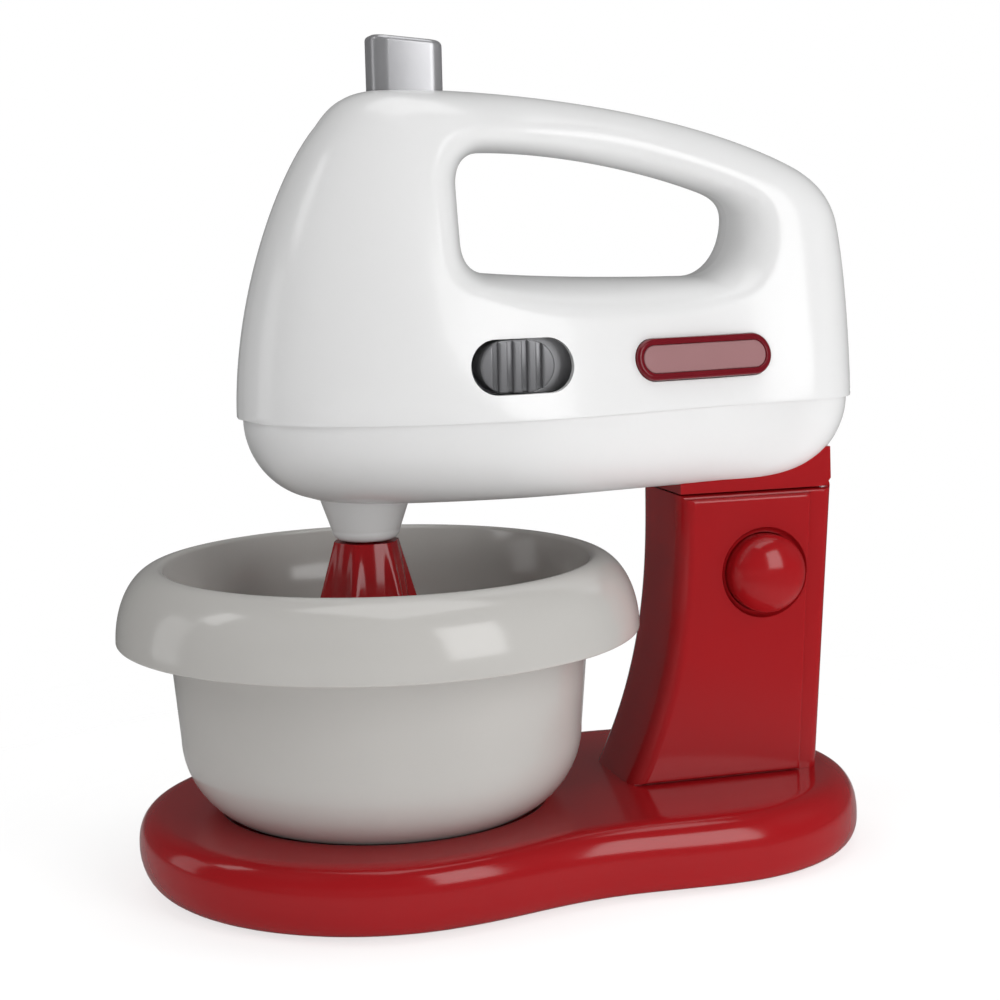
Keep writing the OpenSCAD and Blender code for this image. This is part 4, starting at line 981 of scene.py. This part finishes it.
# %% Rubber feet
PAD_R = 0.5
pad = np.concatenate([[[AXIS, 0.35], [3.2, 0.35]], arc(4.2, 0.35, 0.4, 0.35, 180, 270, 4),
                      arc(5.4, 0.5, PAD_R, PAD_R, -90, 0, 6), [[5.9, 1.6], [AXIS, 1.6]]])
for k, (x, y) in enumerate([(-52, -48), (-52, 48), (55, -40.5), (55, 40.5)]):
    foot = lathe("foot_%d" % k, pad, 64, (x, y, 0))
    place(foot, "stand", "rubber", *(["base_feet"] if k == 0 else []))

# %% [markdown]
# ## The floor
#
# The photo stands on white with only a soft shadow. A shadow catcher would need compositing,
# so a plain pale sheet fades out round the toy instead: its alpha falls with the distance from
# the middle. It is brighter for the camera than its light alone would make it, and it throws
# back more light on the right, as the floor does on the side of the photo's window.

# %% Floor sheet
FLOOR = 900
corners = [[-FLOOR, -FLOOR, 0], [FLOOR, -FLOOR, 0], [FLOOR, FLOOR, 0], [-FLOOR, FLOOR, 0]]
fl = make("floor", corners, [[0, 1, 2, 3]])
fm = bpy.data.materials.new("floor")
fm.use_nodes = True
fl.data.materials.append(fm)
add, link = tools(fm.node_tree)
floor_bsdf = fm.node_tree.nodes["Principled BSDF"].inputs
floor_bsdf["Roughness"].default_value = 0.9
floor_bsdf["Specular IOR Level"].default_value = 0.1
floor_bsdf["Emission Strength"].default_value = 1.0
co = add("TexCoord").outputs["Object"]
paper = add("TexNoise", {"Scale": 6.0})
link(co, paper.inputs["Vector"])
mix = add("MixRGB", {1: (0.88, 0.88, 0.88, 1), 2: (0.92, 0.92, 0.92, 1)})
link(paper.outputs["Fac"], mix.inputs[0])
link(mix.outputs[0], floor_bsdf["Base Color"])
print("floor of", 2 * FLOOR, "mm")

# %% Floor fade and bounce
seen = add("LightPath").outputs
dist = add("VectorMath", op="LENGTH")
link(co, dist.inputs[0])
fade = add("MapRange", {"From Min": 0.16, "From Max": 0.30, "To Min": 0.5, "To Max": 0.0})
link(dist.outputs["Value"], fade.inputs["Value"])
solid = add("Math", op="MAXIMUM")
link(fade.outputs["Result"], solid.inputs[0])
link(seen["Is Diffuse Ray"], solid.inputs[1])
link(solid.outputs[0], floor_bsdf["Alpha"])
lift = add("Math", {1: 0.42}, "MULTIPLY")
link(seen["Is Camera Ray"], lift.inputs[0])
sides = add("SeparateXYZ")
link(co, sides.inputs[0])
bounce = add("MapRange", {"From Min": -0.12, "From Max": 0.12, "To Min": 0.08, "To Max": 0.6})
link(sides.outputs["X"], bounce.inputs["Value"])
glow = add("Math", op="MULTIPLY_ADD")
link(seen["Is Diffuse Ray"], glow.inputs[0])
link(bounce.outputs["Result"], glow.inputs[1])
link(lift.outputs[0], glow.inputs[2])
link(glow.outputs[0], floor_bsdf["Emission Color"])
print("floor material has", len(fm.node_tree.nodes), "nodes")

# %% [markdown]
# ## The world
#
# The camera sees pure white behind the toy, but a white room all round would wash the reds
# out: in the photo the reflections are dark. So the Light Path node shows full white to the
# camera, a little of it to reflections, and only a dim grey to everything else.

# %% World
scene = bpy.context.scene
world = bpy.data.worlds.new("studio")
scene.world = world
world.use_nodes = True
add, link = tools(world.node_tree)
dim = world.node_tree.nodes["Background"]
dim.inputs["Color"].default_value = (1, 1, 1, 1)
dim.inputs["Strength"].default_value = 0.06
white = add("Background", {"Color": (1, 1, 1, 1), "Strength": 1.0})
rays = add("LightPath").outputs
shown = add("Math", op="ADD")
link(rays["Is Camera Ray"], shown.inputs[0])
link(rays["Is Transmission Ray"], shown.inputs[1])
mirrored = add("Math", {1: 0.05}, "MULTIPLY_ADD")
link(rays["Is Glossy Ray"], mirrored.inputs[0])
link(shown.outputs[0], mirrored.inputs[2])
backdrop = add("MixShader")
link(mirrored.outputs[0], backdrop.inputs[0])
link(dim.outputs[0], backdrop.inputs[1])
link(white.outputs[0], backdrop.inputs[2])
link(backdrop.outputs[0], world.node_tree.nodes["World Output"].inputs["Surface"])
print("world:", world.name)

# %% [markdown]
# ## The lamps
#
# One window at the front right makes the photo's sharp highlights, on the bowl's rim, the dome
# and the base. Its place was worked out from where these highlights lie. Two narrow lights on
# the left draw the streaks on the head and on the eject button, and a large one overhead lights
# the tops. A picture of a room wrapped round the scene would be quicker, but its lights cannot
# be moved one by one. The last four lamps only fill shadows, so reflections do not see them.

# %% Lamps
def softbox(name, at, to, size, watts):
    """Rectangular area lamp at a place, facing a target, in millimetres."""
    d = bpy.data.lights.new(name, "AREA")
    d.shape, d.size, d.size_y, d.energy = "RECTANGLE", size[0] * MM, size[1] * MM, watts
    o = bpy.data.objects.new(name, d)
    scene.collection.objects.link(o)
    o.location = Vector(at) * MM
    o.rotation_euler = (Vector(to) - Vector(at)).to_track_quat("-Z", "Y").to_euler()
    return o


softbox("window", (327, -671, 390), (0, 0, 110), (370, 500), 2.2)
softbox("side", (-720, 100, 640), (0, 0, 150), (160, 280), 0.4)
softbox("strip", (-720, 260, 210), (0, 0, 170), (240, 440), 0.33)
softbox("overhead", (40, -60, 1000), (0, 0, 100), (700, 700), 3.0)
for fill in (softbox("low_front", (-330, -760, 88), (0, 0, 80), (1200, 160), 1.75),
             softbox("left", (-600, -290, 680), (0, 0, 120), (600, 500), 1.2),
             softbox("right", (800, -220, 480), (0, 0, 110), (400, 400), 1.4),
             softbox("behind", (-120, 760, 560), (0, 0, 110), (700, 600), 1.8)):
    fill.visible_glossy = False
print(len(bpy.data.lights), "lamps")

# %% [markdown]
# ## The camera
#
# The photo was taken from the front left and a little above. A camera can be moved by hand
# until it looks right, but edges then rarely fall in place. Here direction, distance and roll
# were fitted to the photo's outlines, and the matrix is built from three axes at right angles.

# %% Camera fitted to the photograph
AZ, EL, DIST, ROLL = math.radians(-15.72), math.radians(7.87), 582.18, math.radians(-1.35)
TARGET = Vector((DATUM[0], 0, 105.76))
back = Vector((math.sin(AZ) * math.cos(EL), -math.cos(AZ) * math.cos(EL), math.sin(EL)))
level = (-back).cross(Vector((0, 0, 1))).normalized()
up = level.cross(-back)
cx = math.cos(ROLL) * level + math.sin(ROLL) * up
cy = -math.sin(ROLL) * level + math.cos(ROLL) * up
at = TARGET + back * DIST
cam = bpy.data.cameras.new("camera")
cam.sensor_width, cam.lens = 36.0, 72.0
camera = bpy.data.objects.new("camera", cam)
scene.collection.objects.link(camera)
camera.matrix_world = Matrix(((cx.x, cy.x, back.x, at.x * MM), (cx.y, cy.y, back.y, at.y * MM),
                              (cx.z, cy.z, back.z, at.z * MM), (0, 0, 0, 1)))
scene.camera = camera
scene.view_settings.view_transform = "Standard"
print("camera at", [round(c) for c in at], "mm")
